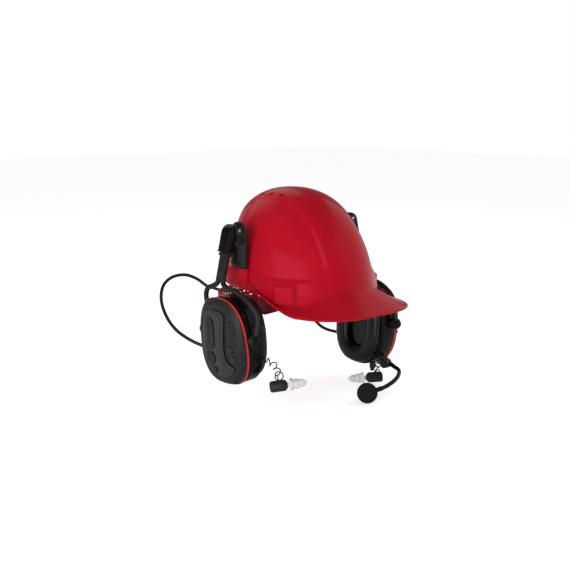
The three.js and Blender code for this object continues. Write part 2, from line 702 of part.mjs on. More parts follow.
function ear(side) {
  const named = (name, geometry, finish) => piece(`${side}_${name}`, geometry, finish);
  const fixed = new THREE.Group();
  if (side === 'left') fixed.scale.x = -1;
  fixed.add(named('mount_plate', mountPlate(), blackMatte));
  fixed.add(named('swivel', swivel(), blackMatte));

  const arm = new THREE.Group();
  arm.position.set(-hingeOut, armY, hingeZ);
  arm.rotation.y = armLean * degree;
  arm.add(named('hinge_pin', hingePin(), steel));
  arm.add(named('arm', elbow(), blackGloss));

  const sliding = new THREE.Group();
  sliding.position.z = -armShift[side];
  sliding.add(named('yoke', yoke(), blackMatte));

  const headset = new THREE.Group();
  headset.position.set(-pivotOut, cupY - armY, -pivotDown);
  headset.rotation.y = -(armLean + cupTilt) * degree;
  for (const [place, end] of [['front', 1], ['rear', -1]]) {
    const shank = rod(at(0, end * pivotReach, 0), at(0, end * (pivotReach + eyeThick + 1), 0), 3, 3, 16);
    const start = pivotReach + eyeThick + 2 * gap;
    const head = rod(at(0, end * start, 0), at(0, end * (start + 3), 0), 6.5, 4.5, 14);
    headset.add(named(`pivot_${place}`, join(shank, head), blackGloss));
  }

  const body = new THREE.Group();
  body.position.copy(at(-pivotN, 0, -pivotU));
  body.add(named('cup', cup(side), blackGloss));
  body.add(named('trim_ring', trimRing(), trimRed));
  body.add(named('cover', cover(), blackMatte));
  body.add(named('cushion', cushion(), blackSoft));
  body.add(named('foam_liner', foamLiner(), foamGrey));
  body.add(named('speaker', speaker(), steel));
  body.add(named('mic_cap_upper', micCap(25, -6), blackSoft));
  body.add(named('mic_cap_lower', micCap(32, -19.5), blackSoft));
  body.add(named('cable_gland', cableGland(), blackSoft));
  body.add(named('earplug_lead', plugLead(side), blackSoft));
  body.add(named('earplug_body', plugBody(side), blackGloss));
  body.add(named('earplug_tip', plugTip(side), whiteSilicone));
  if (side === 'right') {
    body.add(named('circuit_board', cupBox(12, 13.6, -24, 24, -34, 34), boardGreen));
    body.add(named('control_panel', controlPanel(), blackGloss));
    body.add(named('volume_rocker', buttonBody(rocker), blackMatte));
    body.add(named('power_button', buttonBody(powerButton), blackMatte));
    body.add(named('mode_button', buttonBody(modeButton), blackMatte));
  } else {
    body.add(named('battery', cupBox(12, 18, -18, 18, -26, 26), steel));
    body.add(named('boom_socket', boomSocket(), blackMatte));
    body.add(named('boom_tube', boomTube(), blackGloss));
    body.add(named('mic_windscreen', windscreen(), foamGrey));
    body.add(named('accessory_jack', accessoryJack(), blackSoft));
  }
  headset.add(body);
  sliding.add(headset);
  arm.add(sliding);
  fixed.add(arm);
  return fixed;
}

const ears = { right: ear('right'), left: ear('left') };
helmet.add(ears.right, ears.left);
helmet.updateMatrixWorld(true);

// The free stretch of the cable, from gland to gland behind the cap.
function glandFace(side) {
  const body = ears[side].getObjectByName(`${side}_cable_gland`);
  const foot = body.localToWorld(at(glandN, glandF - 9, glandU - 2));
  const out = body.localToWorld(at(glandN, glandF - 9 - 2 * gap, glandU - 2));
  return { out, beyond: out.clone().addScaledVector(out.clone().sub(foot).normalize(), 10) };
}

function crossoverCable() {
  const start = glandFace('right');
  const end = glandFace('left');
  const route = [[-144, 92, -84], [-146, 130, -72], [-142, 161, -53], [-134, 181, -33], [-121, 191, -16],
    [-104, 191, -6], [-85, 183, -4], [-66, 179, -12], [-45, 182, -26], [-25, 188, -34], [0, 180, -41],
    [45, 164, -38], [82, 140, -53], [108, 119, -71],
    [128, 91, -106]].map((p) => new THREE.Vector3(...p));
  return sweep([start.out, start.beyond, ...route, end.beyond, end.out], cableRadius, cableRadius, 56, 8);
}

helmet.add(piece('crossover_cable', crossoverCable(), blackSoft));

export default helmet;
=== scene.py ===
import math

import bmesh
import bpy
from mathutils import Matrix, Vector


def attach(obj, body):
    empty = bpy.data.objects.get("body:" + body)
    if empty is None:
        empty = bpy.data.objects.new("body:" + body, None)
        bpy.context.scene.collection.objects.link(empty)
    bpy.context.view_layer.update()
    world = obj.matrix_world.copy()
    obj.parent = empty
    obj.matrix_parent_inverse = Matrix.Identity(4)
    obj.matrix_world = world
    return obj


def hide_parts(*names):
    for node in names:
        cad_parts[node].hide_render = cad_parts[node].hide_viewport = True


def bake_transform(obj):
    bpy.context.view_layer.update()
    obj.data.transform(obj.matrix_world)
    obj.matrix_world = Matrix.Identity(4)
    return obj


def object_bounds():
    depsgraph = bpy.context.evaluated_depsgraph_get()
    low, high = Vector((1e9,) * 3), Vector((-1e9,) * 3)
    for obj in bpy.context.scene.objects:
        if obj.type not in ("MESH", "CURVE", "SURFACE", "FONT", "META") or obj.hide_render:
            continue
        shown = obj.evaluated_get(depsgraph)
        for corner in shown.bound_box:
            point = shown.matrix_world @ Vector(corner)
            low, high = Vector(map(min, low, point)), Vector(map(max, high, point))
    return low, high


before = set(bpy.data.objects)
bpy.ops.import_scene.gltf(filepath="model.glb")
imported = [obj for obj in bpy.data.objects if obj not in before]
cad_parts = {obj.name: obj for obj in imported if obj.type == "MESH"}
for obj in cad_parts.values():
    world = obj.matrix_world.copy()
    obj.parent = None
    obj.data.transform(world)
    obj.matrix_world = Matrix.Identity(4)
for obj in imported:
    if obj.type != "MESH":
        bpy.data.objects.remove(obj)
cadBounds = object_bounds()
scene = bpy.context.scene
scene.view_settings.view_transform = "Standard"
print("frame loaded")


# Camera, floor and light: angles in degrees, distances in metres.
shot = {"azimuth": -42, "elevation": 11.3, "distance": 1.45, "aimRight": -0.0286, "aimUp": -0.0188,
    "lens": 59}
backdrop = {"floorSize": 12, "floorGap": 0.0005, "floorColour": (0.95, 0.95, 0.95, 1), "lift": 0.56}
lamps = {
    "leftBox": {"azimuth": -71, "elevation": 2, "distance": 1.5, "size": (1.5, 1.45), "watts": 25},
    "rightBox": {"azimuth": 65, "elevation": 16, "distance": 1.6, "size": (2.9, 2.2), "watts": 17},
    "rearBox": {"azimuth": 165, "elevation": 40, "distance": 1.9, "size": (1.6, 1.2), "watts": 4},
}
ambient = 0.42
reflected = {"low": -0.03, "high": 0.42, "atLow": 0.4, "atHigh": 0.1}


# Fills a node tree: kinds names each node and its type, wires join "node.output" to "node.input".
def fillTree(tree, prefix, kinds, wires, values=None):
    def socket(sockets, key):
        return sockets[int(key) if key.isdigit() else key]

    nodes = {}
    for name, kind in (pair.split(":") for pair in kinds.split()):
        nodes[name] = tree.nodes.new(kind if "Node" in kind else prefix + kind)
    for wire in wires:
        (first, out), (second, into) = (end.split(".") for end in wire.split(" > "))
        tree.links.new(socket(nodes[first].outputs, out), socket(nodes[second].inputs, into))
    for place, value in (values or {}).items():
        name, key = place.split(".")
        socket(nodes[name].inputs, key).default_value = value
    return nodes


def headingTo(azimuth, elevation):
    a, e = math.radians(azimuth), math.radians(elevation)
    return Vector((math.sin(a) * math.cos(e), -math.cos(a) * math.cos(e), math.sin(e)))


def aimedAt(obj, back):
    obj.rotation_mode = "QUATERNION"
    obj.rotation_quaternion = (-back).to_track_quat("-Z", "Y")


def addCamera():
    back = headingTo(shot["azimuth"], shot["elevation"])
    right = Vector((math.cos(math.radians(shot["azimuth"])), math.sin(math.radians(shot["azimuth"])), 0))
    aim = right * shot["aimRight"] + back.cross(right) * shot["aimUp"]
    camera = bpy.data.objects.new("camera", bpy.data.cameras.new("camera"))
    camera.data.lens = shot["lens"]
    camera.data.sensor_width = 36
    camera.location = aim + back * shot["distance"]
    aimedAt(camera, back)
    scene.collection.objects.link(camera)
    scene.camera = camera


def addLamps():
    for name, lamp in lamps.items():
        data = bpy.data.lights.new(name, "AREA")
        data.shape = "RECTANGLE"
        data.size, data.size_y = lamp["size"]
        data.energy = lamp["watts"]
        obj = bpy.data.objects.new(name, data)
        back = headingTo(lamp["azimuth"], lamp["elevation"])
        obj.location = back * lamp["distance"]
        aimedAt(obj, back)
        obj.visible_camera = False
        scene.collection.objects.link(obj)


# Camera rays see white. What the object mirrors darkens upwards, and the light on it is softer.
def addSurroundings():
    scene.world = bpy.data.worlds.new("studio")
    scene.world.use_nodes = True
    tree = scene.world.node_tree
    tree.nodes.clear()
    white = (1, 1, 1, 1)
    nodes = fillTree(tree, "ShaderNode", "ray:LightPath place:TexCoord seen:Math heading:SeparateXYZ "
        "fade:MapRange soft:Background mirror:Background white:Background glossy:MixShader mix:MixShader "
        "out:OutputWorld", ("ray.Is Camera Ray > seen.0", "ray.Is Transmission Ray > seen.1",
        "place.Generated > heading.0", "heading.Z > fade.Value", "fade.Result > mirror.Strength",
        "ray.Is Glossy Ray > glossy.0", "soft.0 > glossy.1", "mirror.0 > glossy.2", "seen.0 > mix.0",
        "glossy.0 > mix.1", "white.0 > mix.2", "mix.0 > out.Surface"),
        {"soft.Strength": ambient, "soft.Color": white, "mirror.Color": white, "white.Color": white,
        "fade.From Min": reflected["low"], "fade.From Max": reflected["high"],
        "fade.To Min": reflected["atLow"], "fade.To Max": reflected["atHigh"]})
    nodes["seen"].operation = "MAXIMUM"
    nodes["fade"].interpolation_type = "SMOOTHSTEP"


def addFloor():
    half = backdrop["floorSize"] / 2
    z = cadBounds[0].z - backdrop["floorGap"]
    corners = [(-half, -half, z), (half, -half, z), (half, half, z), (-half, half, z)]
    floor = makeObject("floor", corners, [(0, 1, 2, 3)])
    material = bpy.data.materials.new("paperFloor")
    material.use_nodes = True
    material.node_tree.nodes.clear()
    nodes = fillTree(material.node_tree, "ShaderNode",
        "ray:LightPath level:Math diffuse:BsdfDiffuse glow:Emission add:AddShader out:OutputMaterial",
        ("ray.Is Camera Ray > level.0", "level.0 > glow.Strength", "diffuse.0 > add.0", "glow.0 > add.1",
        "add.0 > out.Surface"), {"level.1": backdrop["lift"], "diffuse.Color": backdrop["floorColour"]})
    nodes["level"].operation = "MULTIPLY"
    floor.data.materials.append(material)


# Points closer together than this are welded.
weldDistance = 2e-6


def makeObject(name, points, faces, edges=()):
    mesh = bpy.data.meshes.new(name)
    mesh.from_pydata([tuple(p) for p in points], edges, faces)
    obj = bpy.data.objects.new(name, mesh)
    scene.collection.objects.link(obj)
    return obj


def editMesh(obj, edit):
    bm = bmesh.new()
    bm.from_mesh(obj.data)
    edit(bm)
    bm.to_mesh(obj.data)
    bm.free()


def shadeSmooth(obj, crease):
    obj.data.shade_smooth()
    obj.data.set_sharp_from_angle(angle=math.radians(crease))
    return obj


# Welds what touches, turns the faces outwards and marks the sharp edges.
def tidyMesh(obj, crease=35):
    def weld(bm):
        bmesh.ops.remove_doubles(bm, verts=bm.verts, dist=weldDistance)
        bmesh.ops.recalc_face_normals(bm, faces=bm.faces)

    editMesh(obj, weld)
    return shadeSmooth(obj, crease)


def bakeModifiers(obj):
    bpy.context.view_layer.update()
    mesh = bpy.data.meshes.new_from_object(obj.evaluated_get(bpy.context.evaluated_depsgraph_get()))
    obj.modifiers.clear()
    obj.data = mesh
    return obj


def removeObject(obj):
    bpy.data.objects.remove(obj)


# Loops of points joined into a tube. The ends are filled, or the last loop joins the first.
def ringSurface(name, rings, closed=False, crease=35):
    count = len(rings[0])
    faces = []
    for j in range(len(rings) if closed else len(rings) - 1):
        a, b = j * count, (j + 1) % len(rings) * count
        for i in range(count):
            k = (i + 1) % count
            faces.append((a + i, a + k, b + k, b + i))
    if not closed:
        last = (len(rings) - 1) * count
        faces += [tuple(range(count))[::-1], tuple(last + i for i in range(count))]
    return tidyMesh(makeObject(name, [p for ring in rings for p in ring], faces), crease)


def softenEdges(obj, width, segments=2, angle=28):
    bevel = obj.modifiers.new("edges", "BEVEL")
    bevel.width, bevel.segments = width, segments
    bevel.limit_method, bevel.angle_limit = "ANGLE", math.radians(angle)
    bevel.use_clamp_overlap = True
    return tidyMesh(bakeModifiers(obj), 40)


def carve(obj, tools, operation="DIFFERENCE"):
    for tool in tools:
        cutter = obj.modifiers.new("cut", "BOOLEAN")
        cutter.object, cutter.operation, cutter.solver = tool, operation, "EXACT"
    bakeModifiers(obj)
    for tool in tools:
        removeObject(tool)
    return tidyMesh(obj)


def joinMeshes(name, parts):
    bm = bmesh.new()
    for part in parts:
        bm.from_mesh(part.data)
        removeObject(part)
    obj = makeObject(name, [], [])
    bm.to_mesh(obj.data)
    bm.free()
    return shadeSmooth(obj, 38)


# An outline of pairs made thick between low and high; place(a, b, c) gives the point.
def prism(name, outline, low, high, place):
    return ringSurface(name, [[place(a, b, c) for a, b in outline] for c in (low, high)])


def block(name, low, high, turn=None):
    (x0, y0, z0), (x1, y1, z1) = low, high
    obj = prism(name, [(x0, y0), (x1, y0), (x1, y1), (x0, y1)], z0, z1, lambda a, b, c: (a, b, c))
    if turn:
        obj.data.transform(turn)
    return obj


# A lathed body along a line from start: the profile holds (radius, distance along the line).
def turned(name, profile, start, way, sides=40, crease=35):
    spin = Vector(way).normalized().to_track_quat("Z", "Y").to_matrix()
    rings = []
    for radius, along in profile:
        circle = [Vector((radius * math.cos(t), radius * math.sin(t), along))
            for t in (2 * math.pi * i / sides for i in range(sides))]
        rings.append([Vector(start) + spin @ p for p in circle])
    return ringSurface(name, rings, crease=crease)


# A smooth line through the points, resampled to even steps.
def smoothPath(points, count):
    pts = [Vector(p) for p in points]
    pts = [pts[0] * 2 - pts[1], *pts, pts[-1] * 2 - pts[-2]]
    dense = []
    for a, b, c, d in zip(pts, pts[1:], pts[2:], pts[3:]):
        t1 = (b - a).length ** 0.5
        t2 = t1 + (c - b).length ** 0.5
        t3 = t2 + (d - c).length ** 0.5
        for i in range(24):
            t = t1 + (t2 - t1) * i / 24
            ab = a * ((t1 - t) / t1) + b * (t / t1)
            bc = b * ((t2 - t) / (t2 - t1)) + c * ((t - t1) / (t2 - t1))
            cd = c * ((t3 - t) / (t3 - t2)) + d * ((t - t2) / (t3 - t2))
            abc = ab * ((t2 - t) / t2) + bc * (t / t2)
            bcd = bc * ((t3 - t) / (t3 - t1)) + cd * ((t - t1) / (t3 - t1))
            dense.append(abc * ((t2 - t) / (t2 - t1)) + bcd * ((t - t1) / (t2 - t1)))
    dense.append(pts[-2])
    return evenSteps(dense, count)


def evenSteps(dense, count):
    lengths = [0.0]
    for a, b in zip(dense, dense[1:]):
        lengths.append(lengths[-1] + (b - a).length)
    out, j = [], 0
    for i in range(count):
        want = lengths[-1] * i / (count - 1)
        while j < len(dense) - 2 and lengths[j + 1] < want:
            j += 1
        step = lengths[j + 1] - lengths[j]
        out.append(dense[j].lerp(dense[j + 1], 0 if step < 1e-12 else min(1, (want - lengths[j]) / step)))
    return out


# A tube along a line; size(t) gives its two half widths, across and along the given side direction.
def sweptTube(name, line, size, sides=16, across=None, power=2):
    rings = []
    normal = None
    for i, p in enumerate(line):
        way = (line[min(i + 1, len(line) - 1)] - line[max(i - 1, 0)]).normalized()
        if across is not None:
            normal = Vector(across)
        elif normal is None:
            normal = way.orthogonal()
        normal = (normal - way * normal.dot(way)).normalized()
        other = way.cross(normal)
        a, b = size(i / (len(line) - 1))
        rings.append([p + normal * a * powered(math.cos(t), power) + other * b * powered(math.sin(t), power)
            for t in (2 * math.pi * k / sides for k in range(sides))])
    return ringSurface(name, rings)


def powered(value, power):
    return math.copysign(abs(value) ** (2 / power), value)


def smoothStep(x, low, high):
    t = max(0, min(1, (x - low) / (high - low)))
    return t * t * (3 - 2 * t)


# Puts a piece in place, gives it its finish and ties it to its body.
def finishPiece(obj, body, finish, nodes=(), place=None):
    if place is not None:
        obj.data.transform(place)
        if place.determinant() < 0:
            obj.data.flip_normals()
    obj.data.materials.clear()
    obj.data.materials.append(finishes[finish])
    if nodes:
        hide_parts(*nodes)
    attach(obj, body)
    return obj


# A copy of a drawn solid with its edges softened.
def softenedNode(name, node, width, segments=2):
    obj = bpy.data.objects.new(name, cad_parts[node].data.copy())
    scene.collection.objects.link(obj)
    tidyMesh(obj)
    editMesh(obj, lambda bm: bmesh.ops.dissolve_limit(bm, angle_limit=math.radians(2), verts=bm.verts,
        edges=bm.edges))
    return softenEdges(obj, width, segments)


# A node group of numbers that several finishes share, with named inputs and outputs.
def shaderGroup(name, given, made, kinds, wires, values):
    group = bpy.data.node_groups.new(name, "ShaderNodeTree")
    for label, value in given.items():
        group.interface.new_socket(label, in_out="INPUT",
            socket_type="NodeSocketFloat").default_value = value
    for label in made:
        group.interface.new_socket(label, in_out="OUTPUT", socket_type="NodeSocketFloat")
    nodes = fillTree(group, "ShaderNode", "given:NodeGroupInput out:NodeGroupOutput place:TexCoord "
        + kinds, wires, values)
    return group, nodes


def ramped(tree, source, toLow, toHigh):
    node = tree.nodes.new("ShaderNodeMapRange")
    node.inputs["To Min"].default_value, node.inputs["To Max"].default_value = toLow, toHigh
    tree.links.new(source, node.inputs["Value"])
    return node.outputs["Result"]


# Fine grain of a moulded surface, slow changes of tone, and sparse scuffs.
def mouldedGroup():
    group, nodes = shaderGroup("mouldedSurface", {"grain": 2500, "tone": 25, "scuffs": 60},
        ("height", "tone", "scuffs"), "grain:TexNoise tone:TexNoise scuff:TexNoise streak:TexNoise "
        "stretch:Mapping spots:MapRange streaks:MapRange shades:MapRange marks:Math",
        ("given.grain > grain.Scale", "given.tone > tone.Scale", "given.scuffs > scuff.Scale",
        "place.Object > grain.Vector", "place.Object > tone.Vector", "place.Object > scuff.Vector",
        "place.Object > stretch.Vector", "stretch.Vector > streak.Vector", "scuff.Fac > spots.Value",
        "streak.Fac > streaks.Value", "spots.Result > marks.0", "streaks.Result > marks.1",
        "tone.Fac > shades.Value", "grain.Fac > out.height", "shades.Result > out.tone",
        "marks.0 > out.scuffs"), {"grain.Detail": 2, "tone.Detail": 3, "stretch.Rotation": (0.5, 0.4, 0.7),
        "stretch.Scale": (1, 14, 1), "streak.Scale": 130, "spots.From Min": 0.58, "spots.From Max": 0.72,
        "streaks.From Min": 0.6, "streaks.From Max": 0.7, "shades.From Min": 0.35, "shades.From Max": 0.65})
    nodes["marks"].operation = "MULTIPLY"
    return group


# Two sets of threads crossing, for cloth.
def weaveGroup():
    group, nodes = shaderGroup("wovenCloth", {"threads": 1400}, ("height", "shade"),
        "warp:TexWave weft:TexWave crossing:Math shades:MapRange", ("place.Object > warp.Vector",
        "place.Object > weft.Vector", "given.threads > warp.Scale", "given.threads > weft.Scale",
        "warp.Fac > crossing.0", "weft.Fac > crossing.1", "crossing.0 > out.height",
        "crossing.0 > shades.Value", "shades.Result > out.shade"),
        {"warp.Distortion": 0.6, "weft.Distortion": 0.6, "shades.To Min": 0.2})
    nodes["warp"].bands_direction, nodes["weft"].bands_direction = "X", "Y"
    nodes["crossing"].operation = "MULTIPLY"
    return group


# Open cells of foam, or the pores of leather when they are shallow.
def cellGroup():
    group, nodes = shaderGroup("openCells", {"cells": 900, "ragged": 2200}, ("height", "shade"),
        "cells:TexVoronoi rough:TexNoise total:Math shades:MapRange", ("place.Object > cells.Vector",
        "place.Object > rough.Vector", "given.cells > cells.Scale", "given.ragged > rough.Scale",
        "cells.Distance > total.0", "rough.Fac > total.1", "total.0 > out.height", "total.0 > shades.Value",
        "shades.Result > out.shade"), {"rough.Detail": 4, "shades.From Min": 0.5, "shades.From Max": 1.2})
    nodes["total"].operation = "ADD"
    return group


surfaceGroups = {"moulded": mouldedGroup(), "weave": weaveGroup(), "cells": cellGroup()}


def mixedColour(tree, factor, first, second):
    mix = tree.nodes.new("ShaderNodeMix")
    mix.data_type = "RGBA"
    tree.links.new(factor, mix.inputs["Factor"])
    for socket, value in ((mix.inputs["A"], first), (mix.inputs["B"], second)):
        if isinstance(value, bpy.types.NodeSocket):
            tree.links.new(value, socket)
        else:
            socket.default_value = (*value, 1)
    return mix.outputs["Result"]


# kind picks the shared group and sizes its scales; dark and light are the two tones it moves between.
def addFinish(name, kind, dark, light, roughness, bump, sizes, specular, tint=None, metal=0, scuff=0,
        sheen=0, glow=0):
    material = bpy.data.materials.new(name)
    material.use_nodes = True
    tree = material.node_tree
    nodes, links = tree.nodes, tree.links
    shader = nodes["Principled BSDF"]
    group = nodes.new("ShaderNodeGroup")
    group.node_tree = surfaceGroups[kind]
    for socket, value in zip(group.inputs, sizes):
        socket.default_value = value
    tone = group.outputs["tone" if kind == "moulded" else "shade"]
    colour = mixedColour(tree, tone, dark, light)
    level = ramped(tree, tone, roughness * 0.95, roughness * 1.05)
    if scuff > 0:
        marks = ramped(tree, group.outputs["scuffs"], 0, scuff)
        colour = mixedColour(tree, marks, colour, tuple(min(1, c * 1.35 + 0.02) for c in light))
        worn = nodes.new("ShaderNodeMath")
        worn.operation = "ADD"
        links.new(level, worn.inputs[0])
        links.new(marks, worn.inputs[1])
        level = worn.outputs[0]
    links.new(colour, shader.inputs["Base Color"])
    links.new(level, shader.inputs["Roughness"])
    relief = nodes.new("ShaderNodeBump")
    links.new(group.outputs["height"], relief.inputs["Height"])
    links.new(relief.outputs["Normal"], shader.inputs["Normal"])
    relief.inputs["Strength"].default_value = 1
    relief.inputs["Distance"].default_value = bump
    for label, value in (("Metallic", metal), ("Specular IOR Level", specular), ("Sheen Weight", sheen),
            ("Specular Tint", tint and (*tint, 1)), ("Subsurface Weight", glow),
            ("Subsurface Scale", glow and 0.004)):
        if value:
            shader.inputs[label].default_value = value
    finishes[name] = material


finishes = {}
addFinish("capRed", "moulded", (0.42, 0.0055, 0.016), (0.45, 0.0065, 0.018), 0.22, 0.000006, (1500, 12, 45),
    0.12, (1.0, 0.3, 0.42), scuff=0.04)
addFinish("harnessRed", "moulded", (0.24, 0.008, 0.014), (0.33, 0.012, 0.02), 0.45, 0.00003, (2600, 40, 60),
    0.4, (1.0, 0.4, 0.5))
addFinish("trimRed", "moulded", (0.62, 0.014, 0.014), (0.7, 0.024, 0.02), 0.35, 0.00001, (2600, 60, 60),
    0.4)
addFinish("matteBlack", "moulded", (0.011, 0.0112, 0.012), (0.016, 0.0162, 0.017), 0.42, 0.00003,
    (3200, 30, 60), 0.24, scuff=0.08)
addFinish("satinBlack", "moulded", (0.012, 0.012, 0.013), (0.018, 0.018, 0.019), 0.38, 0.00002,
    (2600, 50, 70), 0.26, scuff=0.08)
addFinish("glossBlack", "moulded", (0.003, 0.003, 0.0034), (0.005, 0.005, 0.0057), 0.12, 0.000003,
    (1200, 25, 70), 0.12, scuff=0.07)
addFinish("panelBlack", "moulded", (0.004, 0.004, 0.0044), (0.006, 0.006, 0.0067), 0.16, 0.000003,
    (1200, 25, 70), 0.55, scuff=0.07)
addFinish("cushionSkin", "cells", (0.003, 0.003, 0.0035), (0.006, 0.006, 0.007), 0.3, 0.00003, (1500, 600),
    0.3)
addFinish("micFoam", "cells", (0.004, 0.004, 0.005), (0.018, 0.0185, 0.02), 0.95, 0.0005, (900, 1600), 0.1)
addFinish("linerFoam", "cells", (0.02, 0.02, 0.022), (0.06, 0.06, 0.064), 0.95, 0.0004, (700, 1500), 0.1)
addFinish("rubber", "moulded", (0.009, 0.009, 0.01), (0.014, 0.014, 0.015), 0.42, 0.00003, (2200, 60, 90),
    0.35)
addFinish("steel", "moulded", (0.42, 0.43, 0.45), (0.55, 0.56, 0.58), 0.3, 0.00001, (3000, 120, 90), 0.5,
    metal=1)
addFinish("silicone", "moulded", (0.76, 0.755, 0.74), (0.8, 0.795, 0.78), 0.4, 0.00001, (900, 90, 90), 0.35,
    glow=0.12)
addFinish("board", "moulded", (0.01, 0.09, 0.035), (0.02, 0.14, 0.06), 0.4, 0.00004, (700, 300, 60), 0.4)
addFinish("foil", "moulded", (0.4, 0.41, 0.43), (0.5, 0.51, 0.53), 0.35, 0.0002, (260, 90, 60), 0.5,
    metal=0.8)
addFinish("bandCloth", "weave", (0.012, 0.012, 0.013), (0.03, 0.03, 0.032), 0.85, 0.0001, (700,), 0.2,
    sheen=0.2)
addFinish("padCloth", "weave", (0.12, 0.12, 0.125), (0.26, 0.26, 0.27), 0.9, 0.00014, (550,), 0.2,
    sheen=0.2)
addCamera()
addLamps()
addSurroundings()
addFloor()
print("camera, light and finishes ready")

# The right ear arm's hinge and lean, and its cup's place below. The left one mirrors it, drawn out further.
ear = {"hinge": (-0.1155, 0.024, 0.086), "lean": math.radians(13.5), "leftDrop": 0.021, "stemOut": 0.0065,
    "pivotOut": -0.006, "pivotDown": 0.147, "cupTilt": math.radians(4), "pivotN": 0.016, "pivotU": 0.008,
    "cupY": 0.0005}
cupShape = {"half": 0.049, "stretch": 0.0145, "power": 2.5, "seam": -0.006, "face": 0.035, "ringN": 0.0225,
    "ringThick": 0.003, "ringSlope": 0.08, "segments": 120}

armTurn = Matrix.Rotation(ear["lean"], 4, "Y")
armFrame = Matrix.Translation(ear["hinge"]) @ armTurn
mirrored = Matrix.Diagonal((-1, 1, 1, 1))
drawnOut = armTurn @ Vector((0, 0, -ear["leftDrop"]))
fixedSide = {"right": Matrix.Identity(4), "left": mirrored}
slidSide = {"right": Matrix.Identity(4), "left": mirrored @ Matrix.Translation(drawnOut)}


# Right cup: n away from the head, f forwards, u upwards, from the middle of the cup.
def makeCupFrame():
    turn = Matrix.Rotation(-ear["cupTilt"], 4, "Y")
    pivot = armFrame @ Vector((-ear["pivotOut"], ear["cupY"] - ear["hinge"][1], -ear["pivotDown"]))
    middle = pivot + turn @ Vector((ear["pivotN"], 0, -ear["pivotU"]))
    axes = Matrix(((-1, 0, 0, 0), (0, -1, 0, 0), (0, 0, 1, 0), (0, 0, 0, 1)))
    return Matrix.Translation(middle) @ turn @ axes


cupFrame = makeCupFrame()
cupPlace = {side: slidSide[side] @ cupFrame for side in ("right", "left")}


# A piece of the cup or of what it carries, drawn in the right cup's own measures.
def onCup(side, obj, finish, node):
    return finishPiece(obj, f"{side}_headset", finish, [f"{side}_{node}"], cupPlace[side])


def outlinePoint(angle, inset):
    half, power = cupShape["half"] - inset, cupShape["power"]
    tall = half + cupShape["stretch"]
    return half * powered(math.cos(angle), power), tall * powered(math.sin(angle), power)


def leadBoss(side, reach):
    angle = math.radians(earLead["angle"][side])
    f, u = outlinePoint(angle, 0)
    way = Vector((f / cupShape["half"], u / (cupShape["half"] + cupShape["stretch"]))).normalized()
    return Vector((earLead["n"], f + way.x * reach, u + way.y * reach))


# Cords: the cable's route is in the frame, and the leads and plugs are in their cup's own measures.
crossover = {"radius": 0.0026, "glandN": 0.008, "glandF": -0.047, "glandU": -0.024, "steps": 160,
    "route": [(-0.144, 0.092, -0.084), (-0.146, 0.130, -0.072), (-0.142, 0.161, -0.053),
    (-0.134, 0.181, -0.033), (-0.121, 0.191, -0.016), (-0.104, 0.191, -0.006), (-0.085, 0.183, -0.004),
    (-0.066, 0.179, -0.012), (-0.045, 0.182, -0.026), (-0.025, 0.188, -0.034), (0, 0.180, -0.041),
    (0.045, 0.164, -0.038), (0.082, 0.140, -0.053), (0.108, 0.119, -0.071), (0.128, 0.091, -0.106)],
    "cuts": (0, 0.09, 0.18, 0.3, 0.5, 0.72, 0.82, 0.91, 1)}
earLead = {"n": -0.002, "angle": {"right": -16, "left": -40}, "wire": 0.0017, "coil": 0.0056, "turns": 5,
    "route": {"right": [(-0.009, 0.062, -0.029), (-0.017, 0.063, -0.043), (-0.023, 0.058, -0.054)],
    "left": [(-0.014, 0.051, -0.051), (-0.020, 0.054, -0.055), (-0.024, 0.054, -0.059)]}}
plug = {"length": 0.026, "gap": 0.0003,
    "right": {"body": (-0.026, 0.053, -0.069), "way": (-0.743, 0.663, 0.09)},
    "left": {"body": (-0.027, 0.056, -0.073), "way": (-0.735, -0.66, -0.12)}}


def pathLength(line):
    return sum((b - a).length for a, b in zip(line, line[1:]))


# The cable from cup to cup, cut into stretches at the given shares of its length.
def buildCrossover():
    ends = []
    for side in ("right", "left"):
        foot = Vector((crossover["glandN"], crossover["glandF"] - 0.009, crossover["glandU"] - 0.002))
        out = foot + Vector((0, -0.0006, 0))
        ends.append((cupPlace[side] @ out, cupPlace[side] @ (out + Vector((0, -0.01, 0)))))
    points = [ends[0][0], ends[0][1], *[Vector(p) for p in crossover["route"]], ends[1][1], ends[1][0]]
    steps = crossover["steps"]
    line = smoothPath(points, steps + 1)
    cuts = [round(share * steps) for share in crossover["cuts"]]
    made = []
    for k, (a, b) in enumerate(zip(cuts, cuts[1:])):
        stretch = line[a:b + 1]
        obj = sweptTube(f"crossover_cable_{k + 1}", stretch, lambda t: (crossover["radius"],) * 2, 18,
            across=(0, 0, 1) if abs((stretch[-1] - stretch[0]).normalized().z) < 0.8 else (1, 0, 0))
        obj.data.materials.append(finishes["rubber"])
        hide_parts("crossover_cable")
        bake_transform(obj)
        pathLength(stretch)
        made.append(pathLength(stretch))
    print("crossover cable", round(sum(made), 3), "m in", len(made), "stretches")


def plugStart(side, reach):
    given = plug[side]
    return Vector(given["body"]) + Vector(given["way"]).normalized() * reach


